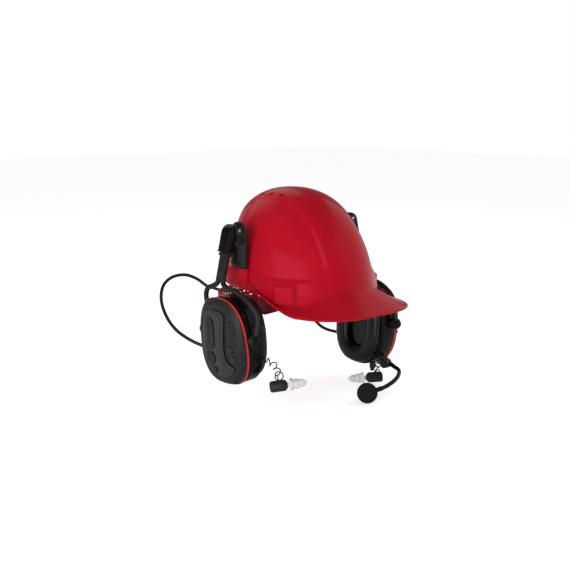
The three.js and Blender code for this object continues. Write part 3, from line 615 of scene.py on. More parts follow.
def buildPlug(side):
    way, half = Vector(plug[side]["way"]), plug["length"] / 2
    body = turned(f"{side}_plug_body", [(0, -half), (0.0062, -half), (0.0078, -half + 0.0012),
        (0.0086, -half + 0.003), (0.0086, half - 0.0045), (0.0078, half - 0.003), (0.005, half - 0.0006),
        (0.0044, half), (0, half)], plug[side]["body"], way, 6, 20)
    softenEdges(body, 0.0013, 3, 20)
    profile = [(0, 0), (0.003, 0), (0.003, 0.0028)]
    for k, radius in enumerate((0.009, 0.0076, 0.0062)):
        foot = 0.003 + 0.0075 * k
        profile += [(radius - 0.0006, foot - 0.0002), (radius, foot + 0.0006),
            (radius - 0.0004, foot + 0.002), (radius - 0.0013, foot + 0.0042),
            (radius - 0.0026, foot + 0.0062), (radius - 0.0034, foot + 0.0073)]
    profile += [(0.0022, 0.0265), (0.0014, 0.0272), (0, 0.0274)]
    tip = turned(f"{side}_plug_tip", profile, plugStart(side, half + plug["gap"]), way, 40, 50)
    onCup(side, body, "satinBlack", "earplug_body")
    onCup(side, tip, "silicone", "earplug_tip")
    return body, tip


# A springy lead: straight out of the cup, then loose turns down to the plug.
def buildLead(side):
    exit, away = leadBoss(side, 0.0038), leadBoss(side, 0.0084)
    end = plugStart(side, -plug["length"] / 2 + 0.0055) + Vector((0, 0, 0.0082))
    last = 59
    spine = smoothPath([exit, away, *earLead["route"][side], end], last + 1)
    span, steps = pathLength(spine), 24 * earLead["turns"]
    line = []
    for i in range(steps + 1):
        t = i / steps
        k = int(t * last)
        place = spine[k] if t in (0, 1) else spine[k].lerp(spine[k + 1], t * last % 1)
        way = (spine[min(k + 2, last)] - spine[max(k - 1, 0)]).normalized()
        first = Vector((1, 0, 0)) - way * way.x
        first.normalize()
        second = way.cross(first)
        wide = earLead["coil"] * min(1, t / 0.1, (1 - t) / 0.1) * (0.84 + 0.16 * math.sin(9 * t + 1))
        turn = 2 * math.pi * earLead["turns"] * t
        line.append(place + (first * math.cos(turn) + second * math.sin(turn)) * wide)
    body, tip = buildPlug(side)
    obj = sweptTube(f"{side}_curly_lead", line, lambda t: (earLead["wire"] / 2,) * 2, 10)
    onCup(side, obj, "rubber", "earplug_lead")
    path = [cupPlace[side] @ p for p in line]
    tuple(path[0])
    pathLength(path)
    print(side, "lead", round(pathLength(path), 3), "m, hanging", round(span, 3), "m")


buildCrossover()
buildLead("right")
buildLead("left")
print("cords ready")

# Cap: angles go round from the peak. Widths, fronts and rears reach out from the middle of the head.
cap = {"width": 0.103, "front": 0.115, "rear": 0.1205, "height": 0.141, "lean": 0.025, "wall": 0.0028,
    "rimWidth": 0.108, "rimFront": 0.157, "rimRear": 0.1245, "rimDrop": 0.0275, "rimReach": 0.095,
    "footSide": 0.011, "footFront": 0.031, "wallTop": 0.042, "rimThick": 0.0032, "segments": 360}
panel = {"bandHalf": 0.041, "belt": 0.028, "beltFall": 0.012, "depth": 0.0036, "corner": 0.032,
    "slope": 0.006}
pads = [{"angle": 60, "width": 0.028, "low": -0.014, "high": 0.011, "proud": 0.0045},
    {"angle": 129, "width": 0.026, "low": 0.002, "high": 0.022, "proud": 0.0045}]
padSkirt = 0.0045
pocket = {"inner": 0.1004, "outer": 0.109, "half": 0.02, "low": 0.003, "high": 0.03}
plate = {"out": 0.1022, "thick": 0.005, "low": 0.032, "top": 0.097, "half": 0.016, "y": 0.024,
    "swivelZ": 0.078}
vents = {"x": 0.039, "y": 0.027, "step": 0.021, "z": 0.133, "tilt": 30, "size": (0.005, 0.007, 0.03)}
eyelet = {"x": (0.1036, 0.106), "y": (-0.017, -0.005), "z": (-0.017, 0.001),
    "hole": (-0.011, -0.012, 0.0022)}


def domeTaper(z):
    return 1 if z <= 0 else (1 - min(1, z / cap["height"]) ** 2.23) ** (1 / 2.25)


def panelMask(x, y, z):
    a, corner = abs(x) - panel["bandHalf"], panel["corner"]
    b = z - panel["belt"] + panel["beltFall"] * smoothStep(-y, -0.02, 0.035)
    inside = min(a, b)
    if a < corner and b < corner:
        inside = corner - math.hypot(max(corner - a, 0), max(corner - b, 0))
    return smoothStep(inside, 0, panel["slope"])


def domePoint(angle, z, inset):
    taper = domeTaper(z)
    reach = cap["front"] if math.cos(angle) > 0 else cap["rear"]
    x = (cap["width"] - inset) * taper * math.sin(angle)
    y = -(reach - inset) * taper * math.cos(angle) + cap["lean"] * max(z, 0) / cap["height"]
    top = z * (cap["height"] - inset) / cap["height"]
    inward = Vector((-x, 0.012 - y, 0.01 - top)).normalized() * (panel["depth"] * panelMask(x, y, z))
    return Vector((x, y, top)) + inward


def rimPoint(angle, inset, lift):
    front = math.cos(angle) > 0
    power = 3.4 if front else 2.2
    x = (cap["rimWidth"] - inset) * powered(math.sin(angle), power)
    y = -((cap["rimFront"] if front else cap["rimRear"]) - inset) * powered(math.cos(angle), power)
    return Vector((x, y, lift - cap["rimDrop"] * smoothStep(-y, 0, cap["rimReach"])))


# Height where the dome turns out into the rim and the peak.
def footHeight(angle):
    turn = abs(math.degrees(math.atan2(math.sin(angle), math.cos(angle))))
    above = cap["footFront"] + (cap["footSide"] - cap["footFront"]) * smoothStep(turn, 15, 55)
    return rimPoint(angle, 0, above).z


def flarePoint(angle, s, inner):
    start = domePoint(angle, footHeight(angle), cap["wall"] if inner else 0)
    end = rimPoint(angle, cap["wall"] if inner else 0, 0 if inner else cap["rimThick"])
    point = start.lerp(end, s)
    point.z = end.z + (start.z - end.z) * (1 - s) ** 1.1
    return point


# Lifts a point of the outside on to the flat face of an accessory pad, with soft sides.
def onPads(p):
    for pad in pads:
        for side in (-1, 1):
            angle = side * math.radians(pad["angle"])
            reach = cap["front"] if math.cos(angle) > 0 else cap["rear"]
            normal = Vector((math.sin(angle) / cap["width"], -math.cos(angle) / reach, 0)).normalized()
            origin = domePoint(angle, 0.01, 0)
            away = p - origin
            along, rise = abs(away.dot(Vector((-normal.y, normal.x, 0)))), away.dot(normal)
            if away.length > 0.04 or rise > pad["proud"]:
                continue
            inside = min(pad["width"] / 2 - along, p.z - pad["low"], pad["high"] - p.z)
            p = p + normal * (pad["proud"] - rise) * smoothStep(inside, -padSkirt, 0.0008)
    return p


def buildShell():
    count = cap["segments"]
    angles = [2 * math.pi * i / count for i in range(count)]
    top, high = cap["wallTop"], cap["height"]
    wallRows, domeRows, flareRows, crown = 36, 34, 22, 0.93
    wall = [k / wallRows for k in range(1, wallRows + 1)]
    rise = [top + (crown * high - top) * k / domeRows for k in range(1, domeRows + 1)]
    rise += [high * share for share in (0.95, 0.967, 0.98, 0.99, 0.997, 1)]
    flares = [k / flareRows for k in range(flareRows + 1)]

    def wallRow(share, inset):
        return [domePoint(a, footHeight(a) + (top - footHeight(a)) * share, inset) for a in angles]

    outer = [[domePoint(a, z, 0) for a in angles] for z in reversed(rise)]
    outer += [[onPads(p) for p in wallRow(share, 0)] for share in reversed(wall)]
    outer += [[onPads(flarePoint(a, s, False)) for a in angles] for s in flares[:-1]]
    edge = [[rimPoint(a, inset, lift) for a in angles] for inset, lift in ((0.0004, 0.0031), (0, 0.0027),
        (0, 0.0008), (0.0005, 0.0001), (0.0022, 0))]
    inner = [[flarePoint(a, s, True) for a in angles] for s in reversed(flares[:-1])]
    inner += [wallRow(share, cap["wall"]) for share in wall[::3]]
    inner += [[domePoint(a, z, cap["wall"]) for a in angles] for z in rise[::2] + [high]]
    shell = ringSurface("cap_shell", outer + edge + inner, crease=50)
    tools = []
    for side in (-1, 1):
        for row in (-1, 0, 1):
            turn = Matrix.Translation((side * vents["x"], vents["y"] + vents["step"] * row, vents["z"]))
            turn = turn @ Matrix.Rotation(math.radians(side * vents["tilt"]), 4, "Y")
            half = [s / 2 for s in vents["size"]]
            tools.append(softenEdges(block("vent", [-h for h in half], half, turn), 0.0009, 3))
    carve(shell, tools)
    extras = [shell]
    for side in (-1, 1):
        flip = Matrix.Diagonal((side, 1, 1, 1))
        slotIn, slotOut = plate["out"] + 0.0009, plate["out"] + plate["thick"] - 0.0009
        slotHalf, slotLow, slotHigh = 0.0144, 0.009, 0.031
        shape = block("pocket", (pocket["inner"], plate["y"] - pocket["half"], pocket["low"]),
            (pocket["outer"], plate["y"] + pocket["half"], pocket["high"]))
        softenEdges(shape, 0.0018, 4)
        slot = block("slot", (slotIn, plate["y"] - slotHalf, slotLow),
            (slotOut, plate["y"] + slotHalf, slotHigh))
        extras.append(carve(shape, [slot]))
        tab = bevelCorners(block("tab", *zip(eyelet["x"], eyelet["y"], eyelet["z"])), 0.004)
        y, z, r = eyelet["hole"]
        hole = turned("hole", [(0, 0), (r, 0), (r, 0.006), (0, 0.006)], (0.102, y, z), (1, 0, 0), 24)
        extras.append(softenEdges(carve(tab, [hole]), 0.0004))
        for extra in extras[-2:]:
            extra.data.transform(flip)
            if side < 0:
                extra.data.flip_normals()
    finishPiece(joinMeshes("cap_moulding", extras), "cap", "capRed", ["shell"])


# Rounds the long edges of a flat tab that run across it.
def bevelCorners(obj, radius):
    def roundOff(bm):
        edges = [e for e in bm.edges if abs((e.verts[0].co - e.verts[1].co).normalized().x) > 0.9]
        bmesh.ops.bevel(bm, geom=edges, offset=radius, segments=6, affect="EDGES", profile=0.5)

    editMesh(obj, roundOff)
    return tidyMesh(obj)


# Harness: t runs along a band from 0 to 1.
harness = {"half": 0.078, "front": 0.092, "straight": 0.062, "thick": 0.0016, "cradleTop": 0.098}
bandEnds = {"low": -0.04, "rise": 0.02, "height": 0.026}
nape = {"rear": 0.15, "low": -0.043, "high": -0.023, "turn": 0.1, "start": 0.03, "bend": 0.62}
cradleEnds = {"front_right": (-0.054, -0.066, 0.0066), "front_left": (0.054, -0.066, 0.0066),
    "rear_right": (-0.076, 0.052, -0.0134), "rear_left": (0.076, 0.052, -0.0134)}


def headbandPoint(t, inset):
    s, curved = (t - 0.5) * 2, 0.72
    half = harness["half"] - inset
    if abs(s) > curved:
        return math.copysign(half, s), (abs(s) - curved) / (1 - curved) * harness["straight"]
    angle = s / curved * math.pi / 2
    return half * math.sin(angle), -(harness["front"] - inset) * math.cos(angle)


# A flat strap with rounded long edges: place(t, depth, height) gives each point.
def strap(name, steps, place):
    section = [(0.5 + 0.5 * powered(math.cos(a), 6), 0.5 + 0.5 * powered(math.sin(a), 14))
        for a in (2 * math.pi * k / 28 for k in range(28))]
    return ringSurface(name, [[Vector(place(i / steps, d, h)) for d, h in section]
        for i in range(steps + 1)])


def buildHeadband():
    def place(t, depth, height):
        x, y = headbandPoint(t, depth * harness["thick"])
        forward = max(0, -y / harness["front"])
        level = bandEnds["low"] + bandEnds["rise"] * min(1, forward * 1.6)
        return x, y, level + height * bandEnds["height"]

    finishPiece(strap("head_band", 120, place), "cap", "harnessRed", ["headband"])


def napePoint(t, inset):
    half = harness["half"] - harness["thick"] - 0.0004
    s, bend, turn = (t - 0.5) * 2, nape["bend"], nape["turn"]
    if abs(s) > bend:
        return math.copysign(half - inset, s), turn - (abs(s) - bend) / (1 - bend) * (turn - nape["start"])
    angle = s / bend * math.pi / 2
    return (half - inset) * math.sin(angle), turn + (nape["rear"] - turn - inset) * math.cos(angle)


# A tree of geometry nodes with named inputs, and a run of such a tree on a mesh.
def geometryTree(name, given, kinds, wires):
    tree = bpy.data.node_groups.new(name, "GeometryNodeTree")
    inputs = {label: tree.interface.new_socket(label, in_out="INPUT", socket_type=f"NodeSocket{kind}")
        for label, kind in (pair.split(":") for pair in given.split())}
    tree.interface.new_socket("made", in_out="OUTPUT", socket_type="NodeSocketGeometry")
    nodes = fillTree(tree, "GeometryNode",
        "given:NodeGroupInput out:NodeGroupOutput place:InstanceOnPoints "
        "real:RealizeInstances paint:SetMaterial " + kinds, ("place.Instances > real.Geometry",
        "real.Geometry > paint.Geometry", "given.finish > paint.Material", "paint.Geometry > out.made",
        *wires))
    identifiers = {label: made.identifier for label, made in inputs.items()}
    return {"tree": tree, "nodes": nodes, "inputs": identifiers}


def runTree(obj, made, **values):
    modifier = obj.modifiers.new("copies", "NODES")
    modifier.node_group = made["tree"]
    for label, value in values.items():
        modifier[made["inputs"][label]] = value
    return bakeModifiers(obj)


# The rungs of the ladder strap: small bars set along a line, turned to follow it.
rungs = geometryTree("strapRungs",
    "line:Geometry count:Int width:Float depth:Float height:Float finish:Material",
    "line:MeshToCurve resample:ResampleCurve bar:MeshCube size:ShaderNodeCombineXYZ tangent:InputTangent "
    "turn:FunctionNodeAlignRotationToVector", ("given.line > line.Mesh", "line.Curve > resample.Curve",
    "given.count > resample.Count", "given.width > size.X", "given.depth > size.Y", "given.height > size.Z",
    "size.0 > bar.Size", "resample.Curve > place.Points", "bar.Mesh > place.Instance",
    "tangent.Tangent > turn.Vector", "turn.Rotation > place.Rotation"))
rungs["nodes"]["turn"].axis, rungs["nodes"]["turn"].pivot_axis = "X", "Z"


def buildNapeStrap():
    thick = harness["thick"]
    parts = []
    edge = 0.005
    for low, high in ((0, edge), (nape["high"] - nape["low"] - edge, nape["high"] - nape["low"])):
        parts.append(strap("rail", 110, lambda t, d, h, a=low, b=high: (
            *napePoint(t, (1 - d) * thick), nape["low"] + a + h * (b - a))))
    middle = (nape["low"] + nape["high"]) / 2
    line = [Vector((*napePoint(k / 120, thick / 2), middle)) for k in range(121)]
    ladder = makeObject("ladder", line, [], [(i, i + 1) for i in range(len(line) - 1)])
    parts.append(runTree(ladder, rungs, count=46, width=0.0042, depth=thick * 0.9, height=nape["high"]
        - nape["low"] - edge, finish=finishes["harnessRed"]))
    finishPiece(joinMeshes("nape_ladder_strap", parts), "nape", "harnessRed",
        ["nape_strap"])


def buildCradle():
    parts = []
    for x, y, z in cradleEnds.values():
        reach, heading = math.hypot(x, y), math.atan2(y, x)

        def place(t, depth, height):
            rise = (1 - t) * math.pi / 2
            swell = depth * 0.0015
            r = (reach + swell) * math.cos(rise) - 0.004 * (1 - t)
            across = (0.5 - height) * 0.018
            up = z + (harness["cradleTop"] + swell - z) * math.sin(rise)
            x = r * math.cos(heading) - across * math.sin(heading)
            return x, r * math.sin(heading) + across * math.cos(heading), up

        parts.append(strap("cradleArm", 60, place))
    top = harness["cradleTop"]
    parts.append(turned("cradleDisc", [(0, 0), (0.0255, 0), (0.026, 0.0004), (0.026, 0.0011),
        (0.0255, 0.0015), (0, 0.0015)], (0, 0, top), (0, 0, 1), 64))
    finishPiece(joinMeshes("crown_straps", parts), "cap", "harnessRed", ["crown_cradle"])


# A soft piece swells in a short cloth run, and its travel is kept small.
def puffUp(obj, voxel, pressure, travel, held):
    before = obj.data
    remesh = obj.modifiers.new("voxels", "REMESH")
    remesh.mode, remesh.voxel_size = "VOXEL", voxel
    bakeModifiers(obj)
    rest = [v.co.copy() for v in obj.data.vertices]
    group = obj.vertex_groups.new(name="held")
    group.add([i for i, p in enumerate(rest) if held(p)], 1, "REPLACE")
    cloth = obj.modifiers.new("cloth", "CLOTH")
    cloth.settings.use_pressure = True
    cloth.settings.uniform_pressure_force = pressure
    cloth.settings.vertex_group_mass = "held"
    cloth.settings.effector_weights.gravity = 0
    cloth.settings.tension_stiffness = cloth.settings.compression_stiffness = 20
    cloth.point_cache.frame_start, cloth.point_cache.frame_end = 1, 20
    for step in range(1, 21):
        scene.frame_set(step)
    bakeModifiers(obj)
    scene.frame_set(1)
    for vertex, start in zip(obj.data.vertices, rest):
        move = vertex.co - start
        vertex.co = start + move * min(1, travel / max(move.length, 1e-9))
    obj.vertex_groups.clear()
    smooth = obj.modifiers.new("smooth", "SMOOTH")
    smooth.iterations = 4
    round_ = obj.modifiers.new("rounded", "SUBSURF")
    round_.levels = round_.render_levels = 1
    bakeModifiers(obj)
    bpy.data.meshes.remove(before)
    return tidyMesh(obj, 60)


def buildHarnessPads():
    def place(t, depth, height):
        x, y = headbandPoint(0.245 + 0.51 * t, harness["thick"] + 0.0006 + depth * 0.0024)
        forward = max(0, -y / harness["front"])
        return x, y, -0.0375 + 0.02 * min(1, forward * 1.6) + height * 0.02

    band = strap("brow_band", 90, place)
    finishPiece(band, "cap", "bandCloth", ["sweatband"])
    z = harness["cradleTop"] - 0.01
    pad = turned("crown_cushion", [(0, -0.0022), (0.019, -0.0022), (0.0238, -0.0012), (0.0246, 0),
        (0.0238, 0.0012), (0.019, 0.0022), (0, 0.0022)], (0, 0, z), (0, 0, 1), 48)
    puffUp(pad, 0.002, 3, 0.0009, lambda p: False)
    finishPiece(pad, "cap", "padCloth", ["crown_pad"])


def buildClips():
    for end in cradleEnds:
        clip = softenedNode(f"{end}_strap_clip", f"clip_{end}", 0.0012, 3)
        finishPiece(clip, "cap", "harnessRed", [f"clip_{end}"])


buildShell()
buildHeadband()
buildNapeStrap()
buildCradle()
buildHarnessPads()
buildClips()
print("cap and harness ready")

# Ear arms, measured from the hinge down the leaning arm.
arm = {"width": 0.0198, "outer": 0.0135, "inner": -0.0005, "foot": 0.034, "socket": (0.0039, 0.008),
    "bore": 0.0052}
yoke = {"stemHalf": (0.0035, 0.0076), "top": 0.0045, "foot": 0.076, "slit": 0.062, "reach": 0.052,
    "eye": 0.0086, "eyeThick": 0.0065, "wide": 0.0036, "thin": 0.003, "gap": 0.0003, "bore": 0.0034,
    "collar": 0.0375, "front": [(-0.0044, 0.05), (-0.0044, 0.07), (-0.007, 0.078), (-0.016, 0.0825),
    (-0.034, 0.0845), (-0.052, 0.09), (-0.069, 0.1005)], "rear": [(0.0044, 0.05), (0.0044, 0.07),
    (0.007, 0.0785), (0.016, 0.084), (0.027, 0.0885), (0.032, 0.098)]}


def archOutline(inset):
    y, r, low = plate["y"], plate["half"] - inset, plate["low"] + inset
    middle, turns = plate["top"] - plate["half"], [math.pi * k / 24 for k in range(25)]
    arch = [(y + r * math.cos(a), middle + r * math.sin(a)) for a in turns]
    return [(y - r, low), (y + r, low), *arch]


def buildMountPlate(side):
    y = plate["y"]
    inner, outer = -plate["out"], -plate["out"] - plate["thick"]
    body = prism("plate", archOutline(0), outer, inner, lambda a, b, c: (c, a, b))
    window = [(y - 0.0095 + dx, z) for dx, z in ((0, 0.037), (0.019, 0.037), (0.019, 0.06), (0, 0.06))]
    hole = prism("window", window, outer - 0.001, inner + 0.001, lambda a, b, c: (c, a, b))
    recess = prism("recess", archOutline(0.0035), outer - 0.001, outer + 0.0016, lambda a, b, c: (c, a, b))
    bore = turned("bore", [(0, 0), (0.0063, 0), (0.0063, 0.01), (0, 0.01)],
        (outer - 0.001, y, plate["swivelZ"]), (1, 0, 0), 40)
    carve(body, [recess, hole, bore])
    softenEdges(body, 0.0005, 3)
    rib = block("rib", (outer + 0.0002, y + 0.0098, 0.038), (inner - 0.001, y + 0.0114, 0.07))
    foot = block("foot", (outer + 0.0013, y - 0.014, 0.014),
        (inner - 0.0013, y + 0.014, plate["low"] + 0.001))
    back = block("back", (inner - 0.0014, y - 0.0105, 0.036), (inner - 0.0004, y + 0.0105, 0.061))
    parts = [body, back, softenEdges(rib, 0.0003), softenEdges(foot, 0.0006)]
    for z in (0.041, 0.0475, 0.054):
        parts.append(softenEdges(block("tooth", (outer + 0.0012, y - 0.0128, z),
            (inner - 0.001, y - 0.0098, z + 0.003)), 0.0004))
    finishPiece(joinMeshes(f"{side}_cap_plate", parts), "cap", "satinBlack",
        [f"{side}_mount_plate"], fixedSide[side])


# The elbow: a quarter-round hood over the hinge, with a step where the stem goes in.
def buildElbow(side):
    outer, foot, out = arm["outer"], arm["foot"], ear["stemOut"]
    outline = [(outer - 0.0142 + 0.014 * math.sin(a), -0.006 + 0.014 * math.cos(a))
        for a in (math.pi / 2 * k / 16 for k in range(17))]
    outline += [(outer, -foot), (arm["inner"], -foot), (arm["inner"], -0.014)]
    outline += [(arm["bore"] * math.sin(a), arm["bore"] * math.cos(a))
        for a in (math.radians(200 + 150 * k / 12) for k in range(13))]
    half = arm["width"] / 2
    body = prism("elbow", outline, -half, half, lambda a, b, c: (-a, c, b))
    deep, broad = arm["socket"]
    mouth = (-out - deep, -broad, -foot - 0.006), (-out + deep, broad, -0.004)
    carve(body, [block("socket", *mouth)])
    softenEdges(body, 0.0028, 5, 50)
    lip = block("lip", (-outer - 0.0006, -half - 0.0004, -foot), (-arm["inner"] + 0.0004, half + 0.0004,
        -foot + 0.0016))
    carve(lip, [block("mouth", *mouth)])
    softenEdges(lip, 0.0005, 3)
    pin = turned("boss", [(0, -half - 0.0002), (0.0032, -half - 0.0002), (0.0036, -half + 0.0003),
        (0.0036, half - 0.0003), (0.0032, half + 0.0002), (0, half + 0.0002)], (0, 0, 0), (0, 1, 0), 32)
    finishPiece(joinMeshes(f"{side}_arm_elbow", [body, lip, pin]), f"{side}_swinging", "glossBlack",
        [f"{side}_arm"], fixedSide[side] @ armFrame)


def yokePoint(out, y, down):
    return Vector((-out, y, -down))


# The stem splits into two branches that bow out round the cup to its pivots.
def buildYoke(side):
    out = ear["stemOut"]
    a, b = yoke["stemHalf"]
    stem = block("stem", (-out - a, -b, -yoke["foot"]), (-out + a, b, -yoke["top"]))
    groove = block("groove", (-out - a - 0.001, -0.0012, -yoke["slit"]),
        (-out - a + 0.0014, 0.0012, -yoke["collar"] - 0.004))
    slit = block("slit", (-out - a - 0.001, -0.0017, -yoke["foot"] - 0.004),
        (-out + a + 0.001, 0.0017, -yoke["slit"]))
    carve(stem, [groove, slit])
    softenEdges(stem, 0.0009, 3)
    collar = block("collar", (-out - a - 0.0018, -b - 0.0016, -yoke["collar"] - 0.0016),
        (-out + a + 0.0018, b + 0.0016, -yoke["collar"] + 0.0032))
    softenEdges(collar, 0.0012, 3)
    parts = [stem, collar]
    middle = ear["cupY"] - ear["hinge"][1]
    for end, route in ((-1, yoke["front"]), (1, yoke["rear"])):
        inner = middle + end * (yoke["reach"] + yoke["gap"])
        centre = inner + end * yoke["eyeThick"] / 2
        places = [*route, (centre, 0.112), (centre, 0.13), (centre, ear["pivotDown"])]
        line = smoothPath([yokePoint(out + (ear["pivotOut"] - out) * smoothStep(down, 0.08, 0.13), y, down)
            for y, down in places], 110)
        parts.append(sweptTube("branch", line, lambda t: (yoke["thin"], yoke["wide"]), 24, across=(1, 0, 0),
            power=3.4))
        low, high = sorted((inner, inner + end * yoke["eyeThick"]))
        eye = turned("eye", [(yoke["bore"], low), (yoke["eye"] - 0.0008, low), (yoke["eye"], low + 0.0008),
            (yoke["eye"], high - 0.0008), (yoke["eye"] - 0.0008, high), (yoke["bore"], high),
            (yoke["bore"], low)], yokePoint(ear["pivotOut"], 0, ear["pivotDown"]), (0, 1, 0), 48)
        parts.append(eye)
    finishPiece(joinMeshes(f"{side}_fork", parts), f"{side}_sliding", "matteBlack",
        [f"{side}_yoke"], slidSide[side] @ armFrame)


def buildPivots(side):
    pivotFrame = cupPlace[side] @ Matrix.Translation((ear["pivotN"], 0, ear["pivotU"]))
    for place, end in (("front", 1), ("rear", -1)):
        start = yoke["reach"] + yoke["eyeThick"] + 0.0006
        knob = turned("knob", [(0, yoke["reach"]), (0.003, yoke["reach"]), (0.003, start), (0.0062, start),
            (0.0067, start + 0.0006), (0.0065, start + 0.0016), (0.0054, start + 0.0027),
            (0.0038, start + 0.003), (0.0036, start + 0.0024), (0.0022, start + 0.0024),
            (0.002, start + 0.003), (0, start + 0.003)], (0, 0, 0), (0, end, 0), 40)
        tab = block("tab", (-0.001, end * (start - 0.0002), -0.0145), (0.001, end * (start + 0.0008),
            -0.0098))
        tab = softenEdges(tidyMesh(tab), 0.0004)
        finishPiece(joinMeshes(f"{side}_{place}_knob", [knob, tab]), f"{side}_headset", "glossBlack",
            [f"{side}_pivot_{place}"], pivotFrame)


def buildArms(side):
    buildMountPlate(side)
    swivel = softenedNode(f"{side}_swivel_disc", f"{side}_swivel", 0.0007, 3)
    finishPiece(swivel, f"{side}_turning", "satinBlack", [f"{side}_swivel"])
    buildElbow(side)
    buildYoke(side)
    buildPivots(side)


# A point of a cup: r is the half width, n the distance out, slant how far it leans with the trim ring.
def ovalPoint(r, n, angle, slant=0):
    tall = r + cupShape["stretch"] * min(1, r / 0.015)
    f = r * powered(math.cos(angle), cupShape["power"])
    u = tall * powered(math.sin(angle), cupShape["power"])
    return Vector((n + cupShape["ringSlope"] * u * slant, f, u))


def between(n, low, high):
    return max(0, min(1, (n - low) / (high - low)))


# A body of oval rings: the profile holds (half width, n), and slant(n) how far it leans with the trim ring.
def ovalBody(name, profile, slant=lambda n: 0, crease=35, closed=False):
    angles = [2 * math.pi * (k + 0.5) / cupShape["segments"] for k in range(cupShape["segments"])]
    rings = [[ovalPoint(r, n, a, slant(n)) for a in angles] for r, n in profile]
    return ringSurface(name, rings, closed, crease)


# A face plate: an outline of (f, u) pairs between two heights.
def facePlate(name, outline, low, high):
    return prism(name, outline, low, high, lambda a, b, c: (c, a, b))


def roundedOutline(points, radius, steps=6):
    out = []
    for k, here in enumerate(points):
        here, before, after = Vector(here), Vector(points[k - 1]), Vector(points[(k + 1) % len(points)])
        cutBack = min(radius, (before - here).length * 0.45, (after - here).length * 0.45)
        a, b = here + (before - here).normalized() * cutBack, here + (after - here).normalized() * cutBack
        for i in range(steps + 1):
            t = i / steps
            out.append(tuple(a.lerp(here, t).lerp(here.lerp(b, t), t)))
    return out


def buildCup(side):
    half, top = cupShape["half"], cupShape["ringN"] - 0.0003
    seam, wall = cupShape["seam"], 0.0025
    lean = lambda n: between(n, 0.006, top)
    body = ovalBody("housing", [(0.02, seam), (half - 0.0012, seam), (half - 0.0004, seam + 0.0004),
        (half, seam + 0.0012), (half, -0.0022), (half - 0.0005, -0.0017), (half - 0.0005, -0.0007),
        (half, -0.0002), (half, 0.006), (half, 0.012), (half, top - 0.0008), (half - 0.0004, top),
        (half - wall, top), (half - wall, 0.006), (half - wall, seam + 0.003), (0.02, seam + 0.003)], lean,
        closed=True)
    parts = [body]
    for end in (-1, 1):
        parts.append(turned("boss", [(0, half - 0.0025), (0.0084, half - 0.0025), (0.0078, half + 0.0002),
            (0.007, half + 0.0014), (0.0068, yoke["reach"] - 0.0006), (0.0062, yoke["reach"] - 0.0003),
            (0, yoke["reach"] - 0.0003)], (ear["pivotN"], 0, ear["pivotU"]), (0, end, 0), 40))
    start, stop = leadBoss(side, -0.002), leadBoss(side, 0.0035)
    way, reach = stop - start, (stop - start).length
    parts.append(turned("leadBoss", [(0, 0), (0.0034, 0), (0.0031, reach * 0.5), (0.0026, reach - 0.0006),
        (0.002, reach), (0, reach)], start, way, 24))
    onCup(side, joinMeshes(f"{side}_cup_housing", parts), "glossBlack", "cup")
    low, high = cupShape["ringN"], cupShape["ringN"] + cupShape["ringThick"]
    ring = ovalBody("ring", [(half - 0.003, low), (half + 0.0003, low), (half + 0.0007, low + 0.0006),
        (half + 0.0008, (low + high) / 2), (half + 0.0007, high - 0.0006), (half + 0.0003, high),
        (half - 0.003, high)], lambda n: 1, closed=True)
    ring.name = f"{side}_red_ring"
    onCup(side, ring, "trimRed", "trim_ring")


coverShape = {"wall": 0.002, "louvreF": (0.0205, 0.0375), "louvreU": (0.034, 0.027, 0.02, 0.013, 0.006),
    "louvreHigh": 0.0022}


# Ribs in rows: a rounded bar copied along a straight line of points.
ribs = geometryTree("ribRow", "rib:Geometry count:Int step:Vector finish:Material", "line:MeshLine",
    ("given.count > line.Count", "given.step > line.Offset", "line.Mesh > place.Points",
    "given.rib > place.Instance"))


def buildCover(side):
    low = cupShape["ringN"] + cupShape["ringThick"] + 0.0003
    face = cupShape["face"]
    inside, r = face - coverShape["wall"], cupShape["half"]
    profile = [(0, face), (r - 0.0098, face), (r - 0.0084, face - 0.0002), (r - 0.007, face - 0.0008),
        (r - 0.0054, face - 0.0017), (r - 0.0038, low + 0.0064), (r - 0.0026, low + 0.0052),
        (r - 0.0014, low + 0.0037), (r - 0.0006, low + 0.0022), (r - 0.0001, low + 0.0009),
        (r - 0.0004, low), (r - 0.0028, low), (r - 0.0056, low + 0.0042), (r - 0.0096, inside), (0, inside)]
    parts = [ovalBody("cover", profile, lambda n: 1 - between(n, low, inside), 50)]
    high = coverShape["louvreHigh"]
    f0, f1 = coverShape["louvreF"]
    rows = coverShape["louvreU"]
    rib = facePlate("louvre", roundedOutline([(f0, 0), (f1 - 0.003, 0), (f1, -0.003), (f1, -0.0045),
        (f0, -0.0045)], 0.0014), face - 0.004, face + high * 0.35)
    rib.data.transform(Matrix.Translation((0, 0, rows[0])))
    softenEdges(rib, 0.0006, 2)
    parts.append(runTree(rib, ribs, count=len(rows), step=(0, 0, rows[1] - rows[0]),
        finish=finishes["matteBlack"]))
    comb = block("comb", (face - 0.008, 0.016, -0.0565), (face - 0.0024, 0.0168, -0.0505))
    softenEdges(comb, 0.00025)
    parts.append(runTree(comb, ribs, count=6, step=(0, 0.0026, 0), finish=finishes["matteBlack"]))
    onCup(side, joinMeshes(f"{side}_outer_cover", parts), "matteBlack", "cover")
    for name, f, u in (("upper", 0.025, -0.006), ("lower", 0.032, -0.0195)):
        dome = turned("dome", [(0, 0.0003), (0.0058, 0.0003), (0.0058, 0.0008), (0.0053, 0.0014),
            (0.0049, 0.0012), (0.0036, 0.0018), (0.0018, 0.0021), (0, 0.0022)], (face, f, u), (1, 0, 0), 40)
        dome.name = f"{side}_mic_dome_{name}"
        onCup(side, dome, "rubber", f"mic_cap_{name}")


